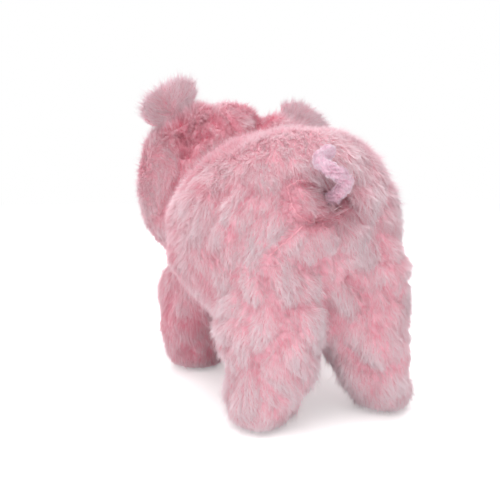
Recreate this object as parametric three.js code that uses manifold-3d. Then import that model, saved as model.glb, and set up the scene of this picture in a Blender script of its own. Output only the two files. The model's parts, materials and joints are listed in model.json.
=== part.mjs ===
// A standing plush pig, built as the sewn toy is: fur panels over separate
// stuffed cores, a padded snout, plastic safety eyes held by washers, two-layer
// ears and a curled tail. Millimetres, +Z up. The pig looks along -Y, its left
// side is +X, and it stands on z = 0.
import * as THREE from 'three';
import { mergeVertices } from 'three/addons/utils/BufferGeometryUtils.js';
import Module from 'manifold-3d';

const wasm = await Module();
wasm.setup();

// Clearances
const seamGap = 0.3; // between two pieces that touch or are sewn together
const overrun = 20; // how far a cutting solid runs past what it cuts
const farReach = 600; // half length of a cutter that halves a whole form
const weldShare = 0.001; // of the seam gap: corners nearer than this are one

// Cloth and pile
const pileSkin = 8; // fur panel with its pile
const footPad = 8; // sole under a leg
const floorCut = 0.5; // depth by which a rounded sole is pressed flat

// Body
const bodyHalfWidth = 83;
const bodyHalfLength = 92.5;
const bodyHalfHeight = 74;
const bodyMidHeight = 119; // height of the body's middle
const rumpSwell = 14; // extra half height at the rump, taken off at the chest
const rumpRise = 2; // how much higher the middle line ends at the rump
const endRise = 8; // how far both ends of the middle line bend up
const bodyPlumpShare = 2.3; // 2 is an ellipsoid, more is fuller

// Head
const headHalfWidth = 84;
const headHalfDepth = 55;
const headHalfHeight = 73;
const headForward = 104.5; // from the body's middle to the head's
const headMidHeight = 155;
const headPlumpShare = 2.2;
const jowlShare = 0.03; // how much wider the cheeks are than the brow
const headTiltDegrees = 3.5; // the head leans to the pig's right

// Legs: foot and hip places are given for the pig's left side
const rearFootSide = 48;
const rearFootBack = 78;
const rearStance = 3; // how far both rear feet stand to the pig's left
const rearFootRadius = 26.5;
const rearHipSide = 26;
const rearHipBack = 49;
const rearHipHeight = 80;
const rearThighRadius = 45;
const frontFootSide = 41;
const frontFootForward = 80;
const frontFootRadius = 27;
const frontHipSide = 46;
const frontHipForward = 64;
const frontHipHeight = 74;
const frontThighRadius = 32;
const rearFootRound = 21; // height over which the foot rounds in to the floor
const frontFootRound = 15;
const footPlumpShare = 2.1; // how square the foot rounds in to the floor
const ankleShare = 0.2; // where the leg starts to swell, of the hip's height

// Belly gusset and closing patch
const bellyHalfWidth = 24;
const bellyHalfLength = 62;
const patchHalfWidth = 14;
const patchHalfHeight = 13;
const patchSide = 16; // from the tail root to the middle of the patch
const patchDrop = 3;
const almondShare = 1.5; // outline exponent of a gusset with drawn-in ends
const patchShare = 2.8; // outline exponent of a round-cornered patch

// Brow gusset along the top of the head
const browHalfWidth = 19;
const browHalfLength = 50;

// Snout
const snoutHalfWidth = 29;
const snoutHalfHeight = 23;
const snoutFlare = 9; // how much wider the snout is where it meets the head
const snoutReach = 27; // from the head's front to the snout's face
const snoutDrop = 16; // below the head's middle
const snoutWall = 5;
const snoutFaceDepth = 8;
const snoutFaceRound = 3.5;
const nostrilHalfWidth = 4.2;
const nostrilHalfHeight = 7;
const nostrilSide = 11;
const ovalShare = 2; // outline exponent of an oval
const nostrilSink = 2.4; // depth of the recess that holds a nostril
const nostrilDepth = 1.4;

// Safety eyes
const eyeRadius = 6.5;
const eyeDomeHeight = 4.5;
const eyeRim = 1; // straight edge under the dome
const eyeSink = 3; // depth of the eye's seat in the pile
const eyeStemRadius = 2;
const washerRadius = 8;
const washerThickness = 1.6;
const washerHub = 1.6; // height of the raised ring round the washer's hole
const stemTail = 2.5; // stem left past the washer

// Ears
const earHalfWidth = 30;
const earHeight = 33;
const earThickness = 8;
const earRootRadius = 4.5;
const earRootHalfLength = 17;
const earCup = 5; // how far the ear's edges curl forward
const earFlop = 3; // how far the tip falls outward
const earSwingDegrees = 40;
const leftEarLeanDegrees = 22; // outward from straight up
const rightEarLeanDegrees = 58;
const earMiddleShare = 0.45; // where the leaf's middle lies between root and tip

// Tail
const tailRadius = 5.6;
const tailCurlRadius = 8;
const tailRise = 31;
const tailSweepDegrees = 315;
const tailHeadingDegrees = 0; // from the root to the middle of the curl
const tailStandOff = 7.8; // straight stretch from the root out of the pile
const tailLift = 7; // how far the tail climbs before its curl
const tailNeckShare = 0.7; // how thin the sleeve is at its root
const tailRootRadius = 6;
const tailCordRadius = 2.2;
const tailEndWall = 4; // cloth left past the end of the cord
const tailGather = 0.5; // depth of the gathers round the sleeve
const tailGathers = 9;
const pilePartRadius = 30; // where the pile is parted round the tail
const pilePartDepth = 5;
const pilePartRiseShare = 0.33; // where the parting's middle lies on the tail's rise
const pilePartSinkShare = 0.08; // how much deeper it goes, of the tail's rise

// Facets
const bodyAround = 30;
const bodyRings = 16;
const coreAround = 16;
const coreRings = 10;
const legAround = 16;
const legCoreAround = 12;
const arcSteps = 4; // along a quarter turn of an outline
const legRiseSteps = 4;
const legDomeSteps = 4;
const earAround = 18;
const earRings = 4;
const snoutAround = 20;
const snoutFlareSteps = 4;
const roundAround = 14;
const tailSteps = 22;
const tailFrameSteps = 220; // places at which the tail's turning is worked out
const tailAround = 9;
const cordAround = 6;
const outlineSteps = 20;

// Places shared by several pieces, as directions from a form's middle
const rumpDirectionShares = [0.035, 0.975, 0.215];
const eyeDirectionShares = [0.56, -0.76, 0.33];
const earDirectionShares = [0.63, 0.14, 0.7];

const X = new THREE.Vector3(1, 0, 0);
const Y = new THREE.Vector3(0, 1, 0);
const Z = new THREE.Vector3(0, 0, 1);

const normalStepDegrees = 1; // how far apart a normal's three points lie
const nearPoleShare = 0.9; // height of a direction past which it counts as upright

// Joining and cutting

function solidOf(geometry) {
  const plain = geometry.clone();
  for (const name of Object.keys(plain.attributes)) {
    if (name !== 'position') plain.deleteAttribute(name);
  }
  const merged = mergeVertices(plain, seamGap * weldShare);
  const corners = merged.index.array;
  const triangles = [];
  for (let i = 0; i < corners.length; i += 3) {
    const [a, b, c] = [corners[i], corners[i + 1], corners[i + 2]];
    if (a !== b && b !== c && c !== a) triangles.push(a, b, c);
  }
  return new wasm.Manifold(new wasm.Mesh({
    numProp: 3,
    vertProperties: new Float32Array(merged.attributes.position.array),
    triVerts: new Uint32Array(triangles),
  }));
}

function geometryOf(solid) {
  const mesh = solid.getMesh();
  const geometry = new THREE.BufferGeometry();
  geometry.setAttribute('position', new THREE.BufferAttribute(new Float32Array(mesh.vertProperties), 3));
  geometry.setIndex(new THREE.BufferAttribute(new Uint32Array(mesh.triVerts), 1));
  geometry.computeVertexNormals();
  return geometry;
}

function warp(geometry, move) {
  const position = geometry.attributes.position;
  const point = new THREE.Vector3();
  for (let i = 0; i < position.count; i++) {
    move(point.fromBufferAttribute(position, i));
    position.setXYZ(i, point.x, point.y, point.z);
  }
  return geometry;
}

// A frame whose Z axis is the given normal and whose X axis is the given side.
function frameAt(place, side, normal) {
  const up = normal.clone().normalize();
  const across = side.clone().addScaledVector(up, -side.dot(up)).normalize();
  const third = new THREE.Vector3().crossVectors(up, across);
  return new THREE.Matrix4().makeBasis(across, third, up).setPosition(place);
}

// A box that reaches far in every direction, between two limits along one axis.
function slab(axis, low, high) {
  const lowest = new THREE.Vector3(-farReach, -farReach, -farReach).setComponent(axis, low);
  const highest = new THREE.Vector3(farReach, farReach, farReach).setComponent(axis, high);
  const size = new THREE.Vector3().subVectors(highest, lowest);
  const middle = lowest.add(highest).multiplyScalar(1 / 2);
  return new THREE.BoxGeometry(size.x, size.y, size.z).translate(middle.x, middle.y, middle.z);
}

function below(height) {
  return solidOf(slab(2, -farReach, height));
}

function halfSlab(sign) {
  return sign > 0 ? slab(0, seamGap / 2, farReach) : slab(0, -farReach, -seamGap / 2);
}

// Stuffed forms: a unit direction goes to a point on the swollen surface

function plump(direction, exponent) {
  const sum = Math.abs(direction.x) ** exponent + Math.abs(direction.y) ** exponent
    + Math.abs(direction.z) ** exponent;
  return direction.clone().multiplyScalar(sum ** (-1 / exponent));
}

function bodyPoint(direction, grow) {
  const unit = plump(direction, bodyPlumpShare);
  const along = unit.y;
  return new THREE.Vector3(
    unit.x * (bodyHalfWidth + grow),
    unit.y * (bodyHalfLength + grow),
    bodyMidHeight + rumpRise * along + endRise * along * along
      + unit.z * (bodyHalfHeight + rumpSwell * along + grow),
  );
}

// The head's own frame: its middle, tilted to one side.
const headFrame = new THREE.Matrix4().makeRotationY(-THREE.MathUtils.degToRad(headTiltDegrees))
  .setPosition(0, -headForward, headMidHeight);

function headPoint(direction, grow) {
  const unit = plump(direction, headPlumpShare);
  return new THREE.Vector3(
    unit.x * (headHalfWidth + grow) * (1 - jowlShare * unit.z),
    unit.y * (headHalfDepth + grow),
    unit.z * (headHalfHeight + grow),
  ).applyMatrix4(headFrame);
}

function swollen(pointAt, grow, around, rings) {
  const sphere = new THREE.SphereGeometry(1, around, rings).rotateX(Math.PI / 2);
  return solidOf(warp(sphere, (point) => point.copy(pointAt(point.clone().normalize(), grow))));
}

function normalAt(pointAt, direction) {
  const step = THREE.MathUtils.degToRad(normalStepDegrees);
  const centre = pointAt(direction, 0);
  const other = Math.abs(direction.z) < nearPoleShare ? Z : Y;
  const sideways = new THREE.Vector3().crossVectors(direction, other).normalize();
  const upward = new THREE.Vector3().crossVectors(sideways, direction).normalize();
  const a = pointAt(direction.clone().applyAxisAngle(upward, step), 0).sub(centre);
  const b = pointAt(direction.clone().applyAxisAngle(sideways, step), 0).sub(centre);
  const normal = new THREE.Vector3().crossVectors(a, b).normalize();
  return normal.dot(direction) < 0 ? normal.negate() : normal;
}

const bodyOuter = swollen(bodyPoint, 0, bodyAround, bodyRings);
const bodyCut = swollen(bodyPoint, seamGap, bodyAround, bodyRings);
const bodyHollow = swollen(bodyPoint, -pileSkin, coreAround, coreRings);
const bodyCore = swollen(bodyPoint, -pileSkin - seamGap, coreAround, coreRings);
const headOuter = swollen(headPoint, 0, bodyAround, bodyRings);
const headCut = swollen(headPoint, seamGap, bodyAround, bodyRings);
const headHollow = swollen(headPoint, -pileSkin, coreAround, coreRings);
const headCore = swollen(headPoint, -pileSkin - seamGap, coreAround, coreRings);

// Upright prisms from an outline, used to cut gussets and patches from a skin

function superOutline(halfWidth, halfHeight, exponent, steps = outlineSteps) {
  const points = [];
  for (let i = 0; i < steps; i++) {
    const angle = (2 * Math.PI * i) / steps;
    const [c, s] = [Math.cos(angle), Math.sin(angle)];
    points.push(new THREE.Vector2(
      halfWidth * Math.sign(c) * Math.abs(c) ** (2 / exponent),
      halfHeight * Math.sign(s) * Math.abs(s) ** (2 / exponent),
    ));
  }
  return new THREE.Shape(points);
}

function prism(shape, depth) {
  return new THREE.ExtrudeGeometry(shape, { depth, bevelEnabled: false });
}

function bellyPrism(grow) {
  const shape = superOutline(bellyHalfWidth + grow, bellyHalfLength + grow, almondShare);
  return solidOf(prism(shape, farReach).translate(0, 0, bodyMidHeight - farReach));
}

function browPrism(grow) {
  const shape = superOutline(browHalfWidth + grow, browHalfLength + grow, almondShare);
  return solidOf(prism(shape, farReach).applyMatrix4(headFrame));
}

// Tail root on the rump, and the parted pile round it

const rumpDirection = new THREE.Vector3(...rumpDirectionShares).normalize();
const tailSeat = bodyPoint(rumpDirection, 0);
const tailRoot = tailSeat.clone().add(new THREE.Vector3(0, seamGap - pilePartDepth, 0));

function patchPrism(grow) {
  const shape = superOutline(patchHalfWidth + grow, patchHalfHeight + grow, patchShare);
  const flat = prism(shape, overrun + bodyHalfLength / 2).rotateX(Math.PI / 2);
  return solidOf(flat.translate(tailSeat.x + patchSide, tailSeat.y + overrun, tailSeat.z - patchDrop));
}

function pilePart() {
  const middle = tailSeat.clone().addScaledVector(Z, tailRise * pilePartRiseShare);
  const dishRadius = (pilePartRadius ** 2 + pilePartDepth ** 2) / (2 * pilePartDepth);
  const points = [];
  for (let i = 0; i <= arcSteps; i++) {
    const radius = (pilePartRadius * i) / arcSteps;
    const drop = Math.sqrt(dishRadius ** 2 - radius ** 2);
    points.push(new THREE.Vector2(radius, dishRadius - pilePartDepth - drop));
  }
  points.push(new THREE.Vector2(pilePartRadius, overrun), new THREE.Vector2(0, overrun));
  const dish = new THREE.LatheGeometry(points, roundAround);
  const normal = normalAt(bodyPoint, rumpDirection);
  const tilt = new THREE.Quaternion().setFromUnitVectors(Y, normal);
  return solidOf(dish.applyQuaternion(tilt).translate(middle.x, middle.y - tailRise * pilePartSinkShare, middle.z));
}

function ball(place, radius) {
  const sphere = new THREE.SphereGeometry(radius, roundAround, Math.ceil(roundAround / 2));
  return solidOf(sphere.translate(place.x, place.y, place.z));
}

// Body skins

const tailSocket = ball(tailRoot, tailRootRadius + seamGap);
const bodySkin = bodyOuter.subtract(bodyHollow).subtract(headHollow).subtract(pilePart()).subtract(tailSocket);
const bellyCut = bellyPrism(seamGap);
const patchCut = patchPrism(seamGap);

function bodyPanel(sign) {
  return bodySkin.intersect(solidOf(halfSlab(sign))).subtract(bellyCut).subtract(patchCut);
}

// Legs: a round profile swept up from a flat sole and leaned to its hip

function legSpec(rear, sign) {
  return rear
    ? { foot: [rearFootSide + sign * rearStance, rearFootBack], hip: [rearHipSide, rearHipBack, rearHipHeight],
      footRadius: rearFootRadius, thighRadius: rearThighRadius, footRound: rearFootRound }
    : { foot: [frontFootSide, -frontFootForward], hip: [frontHipSide, -frontHipForward, frontHipHeight],
      footRadius: frontFootRadius, thighRadius: frontThighRadius, footRound: frontFootRound };
}

function leaned(geometry, leg, sign) {
  return warp(geometry, (point) => {
    const rise = Math.min(Math.max(point.z / leg.hip[2], 0), 1);
    point.x += sign * THREE.MathUtils.lerp(leg.foot[0], leg.hip[0], rise);
    point.y += THREE.MathUtils.lerp(leg.foot[1], leg.hip[1], rise);
  });
}

// The wall above the foot, drawn in all round by the given amount.
function legWall(leg, from, shrink) {
  const points = [new THREE.Vector2(leg.footRadius - shrink, from)];
  for (let i = 0; i < legRiseSteps; i++) {
    const height = THREE.MathUtils.lerp(leg.hip[2] * ankleShare, leg.hip[2], i / legRiseSteps);
    const swell = THREE.MathUtils.smootherstep(i, 0, legRiseSteps);
    const radius = THREE.MathUtils.lerp(leg.footRadius, leg.thighRadius, swell) - shrink;
    points.push(new THREE.Vector2(radius, height));
  }
  for (let i = 0; i <= legDomeSteps; i++) {
    const angle = (Math.PI / 2) * (i / legDomeSteps);
    const radius = leg.thighRadius - shrink;
    const height = leg.hip[2] + radius * Math.sin(angle);
    points.push(new THREE.Vector2(i === legDomeSteps ? 0 : radius * Math.cos(angle), height));
  }
  return points;
}

function legOuter(leg, sign) {
  const points = [];
  for (let i = 0; i < arcSteps; i++) {
    const rise = 1 - Math.cos((Math.PI / 2) * (i / arcSteps));
    const radius = leg.footRadius * (1 - (1 - rise) ** footPlumpShare) ** (1 / footPlumpShare);
    points.push(new THREE.Vector2(radius, rise * leg.footRound - floorCut));
  }
  points.push(...legWall(leg, leg.footRound - floorCut, 0));
  const round = new THREE.LatheGeometry(points, legAround).rotateX(Math.PI / 2);
  return solidOf(leaned(round, leg, sign)).subtract(below(0));
}

function legInner(leg, sign, bottom, shrink) {
  const points = [new THREE.Vector2(0, bottom), ...legWall(leg, bottom, shrink)];
  const round = new THREE.LatheGeometry(points, legCoreAround).rotateX(Math.PI / 2);
  return solidOf(leaned(round, leg, sign));
}

function legPieces(rear, sign) {
  const leg = legSpec(rear, sign);
  const whole = legOuter(leg, sign);
  const ownSide = solidOf(halfSlab(sign));
  const hollow = legInner(leg, sign, footPad / 2, pileSkin);
  const core = legInner(leg, sign, footPad + seamGap, pileSkin + seamGap);
  const trimmed = (solid) => solid.subtract(bodyCut).subtract(headCut).intersect(ownSide);
  return {
    skin: trimmed(whole.subtract(hollow)).subtract(below(footPad + seamGap / 2)),
    sole: whole.intersect(below(footPad - seamGap / 2)),
    stuffing: trimmed(core),
  };
}

// Snout: a padded oval face on a short side wall, both set on the head

const snoutFront = headHalfDepth + snoutReach;
const snoutBack = snoutFaceDepth + seamGap; // depth at which the side wall starts

function ovalAlongY(points, steps) {
  const round = new THREE.LatheGeometry(points, steps).scale(1, 1, -snoutHalfHeight / snoutHalfWidth);
  return flipped(round).translate(0, -snoutFront, -snoutDrop).applyMatrix4(headFrame);
}

// A mirrored geometry needs its triangles turned over.
function flipped(geometry) {
  const index = geometry.index.array;
  for (let i = 0; i < index.length; i += 3) [index[i], index[i + 1]] = [index[i + 1], index[i]];
  return geometry;
}

function snoutFace() {
  const points = [new THREE.Vector2(0, 0)];
  const inner = snoutHalfWidth - snoutFaceRound;
  for (let i = 0; i <= arcSteps; i++) {
    const angle = (Math.PI / 2) * (i / arcSteps);
    const depth = snoutFaceRound * (1 - Math.cos(angle));
    points.push(new THREE.Vector2(inner + snoutFaceRound * Math.sin(angle), depth));
  }
  points.push(new THREE.Vector2(snoutHalfWidth, snoutFaceDepth), new THREE.Vector2(0, snoutFaceDepth));
  return solidOf(ovalAlongY(points, snoutAround));
}

// The flared form behind the face, drawn in all round, from the given depth on.
function snoutForm(drawn, start) {
  const points = [new THREE.Vector2(0, start)];
  if (start < snoutBack) points.push(new THREE.Vector2(snoutHalfWidth - drawn, start));
  for (let i = 0; i <= snoutFlareSteps; i++) {
    const share = i / snoutFlareSteps;
    const radius = snoutHalfWidth - drawn + snoutFlare * share * share;
    points.push(new THREE.Vector2(radius, THREE.MathUtils.lerp(snoutBack, snoutReach, share)));
  }
  const end = snoutReach + headHalfDepth / 2;
  points.push(new THREE.Vector2(points[points.length - 1].x, end), new THREE.Vector2(0, end));
  return solidOf(ovalAlongY(points, snoutAround));
}

function nostrilPad(sign, grow, depth, sink) {
  const shape = superOutline(nostrilHalfWidth + grow, nostrilHalfHeight + grow, ovalShare);
  const pad = prism(shape, depth).rotateX(Math.PI / 2);
  return solidOf(pad.translate(sign * nostrilSide, sink - snoutFront, -snoutDrop).applyMatrix4(headFrame));
}

// Safety eye: dome and stem in one, and the washer pushed on from behind

const eyeDirection = new THREE.Vector3(...eyeDirectionShares).normalize();
const eyeStemLength = pileSkin - eyeSink + washerThickness + washerHub + stemTail;

function eyeFrame(sign) {
  const direction = eyeDirection.clone();
  direction.x *= sign;
  const place = headPoint(direction, 0);
  return frameAt(place, Z, normalAt(headPoint, direction));
}

function turnedAlong(points, frame) {
  const round = new THREE.LatheGeometry(points, roundAround).rotateX(Math.PI / 2);
  return solidOf(round.applyMatrix4(frame));
}

function eyeShape(frame) {
  const back = seamGap - eyeSink;
  const stemEnd = back - eyeStemLength;
  const points = [
    new THREE.Vector2(0, stemEnd), new THREE.Vector2(eyeStemRadius, stemEnd + eyeStemRadius / 2),
    new THREE.Vector2(eyeStemRadius, back), new THREE.Vector2(eyeRadius, back),
  ];
  for (let i = 0; i <= arcSteps; i++) {
    const angle = (Math.PI / 2) * (i / arcSteps);
    const radius = i === arcSteps ? 0 : eyeRadius * Math.cos(angle);
    points.push(new THREE.Vector2(radius, back + eyeRim + eyeDomeHeight * Math.sin(angle)));
  }
  return turnedAlong(points, frame);
}

function rod(radius, low, high, frame) {
  return turnedAlong([
    new THREE.Vector2(0, low), new THREE.Vector2(radius, low),
    new THREE.Vector2(radius, high), new THREE.Vector2(0, high),
  ], frame);
}

const washerTop = -pileSkin - seamGap * 2;
const washerBottom = washerTop - washerThickness;

function washerShape(frame) {
  const hole = eyeStemRadius + seamGap;
  const hubRadius = (hole + washerRadius) / 2;
  return turnedAlong([
    new THREE.Vector2(hole, washerBottom - washerHub), new THREE.Vector2(hubRadius, washerBottom - washerHub),
    new THREE.Vector2(hubRadius, washerBottom), new THREE.Vector2(washerRadius, washerBottom),
    new THREE.Vector2(washerRadius, washerTop), new THREE.Vector2(hole, washerTop),
    new THREE.Vector2(hole, washerBottom - washerHub),
  ], frame);
}

// Ears: a pillowed leaf split into a fur back and a lining, hinged on its root

function earDirection(sign) {
  const direction = new THREE.Vector3(...earDirectionShares).normalize();
  direction.x *= sign;
  return direction;
}

// Outward angle from straight up of the head's surface where the ear is sewn.
function earSlope(sign) {
  const normal = normalAt(headPoint, earDirection(sign));
  return Math.atan2(sign * normal.x, normal.z);
}

// Z stands square to the head, X runs along the root seam, Y points back.
function earFrame(sign) {
  const slope = earSlope(sign);
  const upright = new THREE.Vector3(sign * Math.sin(slope), 0, Math.cos(slope));
  return frameAt(headPoint(earDirection(sign), 0), new THREE.Vector3().crossVectors(Y, upright), upright);
}

// Cups the leaf, leans it to its own angle and lets the tip flop outward.
function earBent(point, sign) {
  const leanDegrees = sign > 0 ? leftEarLeanDegrees : rightEarLeanDegrees;
  const turn = THREE.MathUtils.degToRad(leanDegrees) - earSlope(sign);
  const rise = Math.max(point.z, 0);
  const share = rise / earHeight;
  point.y -= earCup * (point.x / earHalfWidth) ** 2 * share;
  point.x += sign * (rise * Math.sin(turn) + earFlop * share * share);
  point.z += rise * (Math.cos(turn) - 1);
  return point;
}

// Half of the pillowed leaf, between its middle surface and its front or back.
function earLeaf(front, sign) {
  const facing = front ? -1 : 1;
  const middle = earHeight * earMiddleShare;
  const outline = superOutline(earHalfWidth, earHeight - middle, bodyPlumpShare, earAround).getPoints();
  const vertices = [];
  const index = [];
  for (const swell of [0, 1]) {
    for (let ring = 0; ring <= earRings; ring++) {
      const share = Math.sin((Math.PI / 2) * (ring / earRings));
      const depth = seamGap / 2 + swell * (earThickness / 2) * Math.sqrt(Math.max(1 - share * share, 0));
      for (let j = 0; j < earAround; j++) {
        const flat = outline[j];
        const point = new THREE.Vector3(flat.x * share, facing * depth, middle + flat.y * share);
        vertices.push(...earBent(point, sign).toArray());
      }
    }
  }
  const outward = (a, b, c, side) => index.push(...(side * facing > 0 ? [a, c, b] : [a, b, c]));
  for (const swell of [0, 1]) {
    for (let ring = 0; ring < earRings; ring++) {
      for (let j = 0; j < earAround; j++) {
        const next = (j + 1) % earAround;
        const start = (swell * (earRings + 1) + ring) * earAround;
        const [a, b] = [start + j, start + next];
        outward(a, b, b + earAround, 1 - 2 * swell);
        outward(a, b + earAround, a + earAround, 1 - 2 * swell);
      }
    }
  }
  const geometry = new THREE.BufferGeometry();
  geometry.setAttribute('position', new THREE.Float32BufferAttribute(vertices, 3));
  geometry.setIndex(index);
  return solidOf(geometry).subtract(below(0));
}

function earRoot(radius, halfLength) {
  const bar = new THREE.CapsuleGeometry(radius, 2 * (halfLength - radius), arcSteps, roundAround);
  return solidOf(bar.rotateZ(Math.PI / 2));
}

function earPieces(sign) {
  const frame = earFrame(sign);
  const back = earLeaf(false, sign).add(earRoot(earRootRadius, earRootHalfLength));
  const lining = earLeaf(true, sign).subtract(earRoot(earRootRadius + seamGap, earRootHalfLength + seamGap));
  return {
    back: solidOf(geometryOf(back).applyMatrix4(frame)),
    lining: solidOf(geometryOf(lining).applyMatrix4(frame)),
  };
}

// The groove in the head in which an ear's root turns through its whole swing.
function earGroove(sign) {
  const radius = earRootRadius + seamGap;
  const fan = new THREE.Shape();
  const half = THREE.MathUtils.degToRad(earSwingDegrees) + Math.asin((earThickness / 2) / overrun);
  fan.moveTo(0, 0);
  fan.absarc(0, 0, overrun, Math.PI / 2 - half, Math.PI / 2 + half, false);
  fan.closePath();
  const length = earRootHalfLength + seamGap;
  const opened = new THREE.ExtrudeGeometry(fan, {
    depth: 2 * length, bevelEnabled: false, curveSegments: arcSteps,
  });
  opened.translate(0, -radius, -length).applyMatrix4(new THREE.Matrix4().makeBasis(Y, Z, X));
  const frame = earFrame(sign);
  const bed = geometryOf(earRoot(radius, length).add(solidOf(opened)));
  return solidOf(bed.applyMatrix4(frame));
}

// Head skins

const eyeSeats = [1, -1].map((sign) => rod(eyeRadius + seamGap, -eyeSink, overrun, eyeFrame(sign)));
const eyeHoles = [1, -1].map((sign) => (
  rod(eyeStemRadius + seamGap, -eyeSink - eyeStemLength - seamGap, 0, eyeFrame(sign))
));
const washerSeats = [1, -1].map((sign) => (
  rod(washerRadius + seamGap, -eyeSink - eyeStemLength, washerTop + seamGap, eyeFrame(sign))
));

function cutAll(solid, cutters) {
  return cutters.reduce((left, cutter) => left.subtract(cutter), solid);
}

const headSkin = cutAll(
  headOuter.subtract(headHollow).subtract(bodyCut),
  [...eyeSeats, ...eyeHoles, ...washerSeats, earGroove(1), earGroove(-1)],
);
const browCut = browPrism(seamGap);

function headPanel(sign) {
  return headSkin.intersect(solidOf(halfSlab(sign).applyMatrix4(headFrame))).subtract(browCut);
}

// Tail: a gathered sleeve over a curling cord, with a ball root in the rump

function tailLine() {
  const heading = THREE.MathUtils.degToRad(tailHeadingDegrees);
  const axis = new THREE.Vector3(Math.cos(heading), Math.sin(heading), 0).multiplyScalar(tailCurlRadius)
    .add(tailRoot).addScaledVector(Y, tailStandOff + pilePartDepth);
  const start = heading + Math.PI;
  const sweep = THREE.MathUtils.degToRad(tailSweepDegrees);
  const neck = tailRoot.clone().addScaledVector(Y, tailStandOff).addScaledVector(Z, tailLift / 2);
  const points = [tailRoot.clone(), neck];
  for (let i = 1; i <= tailSteps; i++) {
    const t = i / tailSteps;
    points.push(new THREE.Vector3(
      axis.x + tailCurlRadius * Math.cos(start - sweep * t),
      axis.y + tailCurlRadius * Math.sin(start - sweep * t),
      tailRoot.z + THREE.MathUtils.lerp(tailLift, tailRise, t),
    ));
  }
  return new THREE.CatmullRomCurve3(points);
}

const tailCurve = tailLine();

// A tube along the tail with a radius for each share of its length. Its rings
// lie at the same places whatever its ends, so that one tube fits in another.
function tailTube(radiusAt, from, to, around) {
  const frames = tailCurve.computeFrenetFrames(tailFrameSteps, false);
  const rings = [from];
  for (let i = 1; i < tailSteps; i++) {
    if (i / tailSteps > from && i / tailSteps < to) rings.push(i / tailSteps);
  }
  rings.push(to);
  const vertices = [];
  const index = [];
  rings.forEach((share) => {
    const nearest = Math.round(share * tailFrameSteps);
    const centre = tailCurve.getPointAt(share);
    for (let j = 0; j < around; j++) {
      const angle = (2 * Math.PI * j) / around;
      const out = frames.normals[nearest].clone().multiplyScalar(Math.cos(angle))
        .addScaledVector(frames.binormals[nearest], Math.sin(angle));
      vertices.push(...centre.clone().addScaledVector(out, radiusAt(share)).toArray());
    }
  });
  for (let i = 0; i < rings.length - 1; i++) {
    for (let j = 0; j < around; j++) {
      const next = (j + 1) % around;
      const [a, b] = [i * around + j, i * around + next];
      const [c, d] = [a + around, b + around];
      index.push(a, b, c, b, d, c);
    }
  }
  for (const [ring, end] of [[0, from], [rings.length - 1, to]]) {
    const centre = vertices.length / 3;
    vertices.push(...tailCurve.getPointAt(end).toArray());
    for (let j = 0; j < around; j++) {
      const [a, b] = [ring * around + j, ring * around + ((j + 1) % around)];
      index.push(...(ring === 0 ? [centre, b, a] : [centre, a, b]));
    }
  }
  const geometry = new THREE.BufferGeometry();
  geometry.setAttribute('position', new THREE.Float32BufferAttribute(vertices, 3));
  geometry.setIndex(index);
  return solidOf(geometry);
}

const tailLength = tailCurve.getLength();

function sleeveRadius(share) {
  const toEnd = (1 - share) * tailLength;
  const round = toEnd < tailRadius ? Math.sqrt(1 - (1 - toEnd / tailRadius) ** 2) : 1;
  const neck = THREE.MathUtils.smoothstep(share * tailLength, 0, tailStandOff + tailRadius);
  const gathered = tailGather * Math.cos(2 * Math.PI * tailGathers * share);
  const full = tailRadius - tailGather + gathered;
  return Math.max(THREE.MathUtils.lerp(tailRadius * tailNeckShare, full, neck) * round, seamGap);
}

function tailPieces() {
  const cordEnd = 1 - tailEndWall / tailLength;
  const bore = tailTube(() => tailCordRadius + seamGap, 0, cordEnd + seamGap / tailLength, cordAround);
  const mouth = rodBetween(
    tailRoot.clone().addScaledVector(Y, -tailRootRadius - seamGap),
    tailRoot.clone().addScaledVector(Y, tailStandOff / 2),
  );
  const sleeve = tailTube(sleeveRadius, 0, 1, tailAround).add(ball(tailRoot, tailRootRadius));
  return {
    sleeve: sleeve.subtract(bore).subtract(mouth),
    cord: tailTube(() => tailCordRadius, seamGap / tailLength, cordEnd, cordAround),
  };
}

// The bore's straight mouth through the ball at the tail's root.
function rodBetween(low, high) {
  const length = high.y - low.y;
  const round = new THREE.CylinderGeometry(tailCordRadius + seamGap, tailCordRadius + seamGap, length, cordAround);
  return solidOf(round.translate(low.x, (low.y + high.y) / 2, low.z));
}

// Materials

function cloth(colour, roughness) {
  return new THREE.MeshStandardMaterial({ color: colour, roughness, metalness: 0 });
}

const furPink = cloth(0xe6a9b6, 0.95);
const pilePink = cloth(0xdcc0cc, 0.9);
const fillWhite = cloth(0xf2efe9, 1);
const nostrilRose = cloth(0xb5657c, 0.8);
const eyeBlack = cloth(0x0d0b0c, 0.15);
const washerWhite = cloth(0xe9e6df, 0.45);

// Assembly

const pig = new THREE.Group();

function place(name, solid, material) {
  const mesh = new THREE.Mesh(geometryOf(solid), material.clone());
  mesh.name = name;
  pig.add(mesh);
}

const sides = [['left', 1], ['right', -1]];

place('body_stuffing', bodyCore.subtract(tailSocket), fillWhite);
for (const [side, sign] of sides) place(`body_panel_${side}`, bodyPanel(sign), furPink);
place('belly_gusset', bodySkin.intersect(bellyPrism(0)), furPink);
place('rump_patch', bodySkin.intersect(patchPrism(0)), furPink);

place('head_stuffing', cutAll(headCore.subtract(bodyHollow), [...washerSeats, ...eyeHoles]), fillWhite);
for (const [side, sign] of sides) place(`head_panel_${side}`, headPanel(sign), furPink);
place('forehead_gusset', headSkin.intersect(browPrism(0)), furPink);

const nostrilSeats = [1, -1].map((sign) => nostrilPad(sign, seamGap, nostrilSink + overrun, nostrilSink));
place('snout_front', cutAll(snoutFace(), nostrilSeats), pilePink);
place('snout_side', snoutForm(0, snoutBack).subtract(snoutForm(snoutWall, 0)).subtract(headCut), pilePink);
place('snout_stuffing', snoutForm(snoutWall + seamGap, snoutBack).subtract(headCut), fillWhite);

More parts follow.
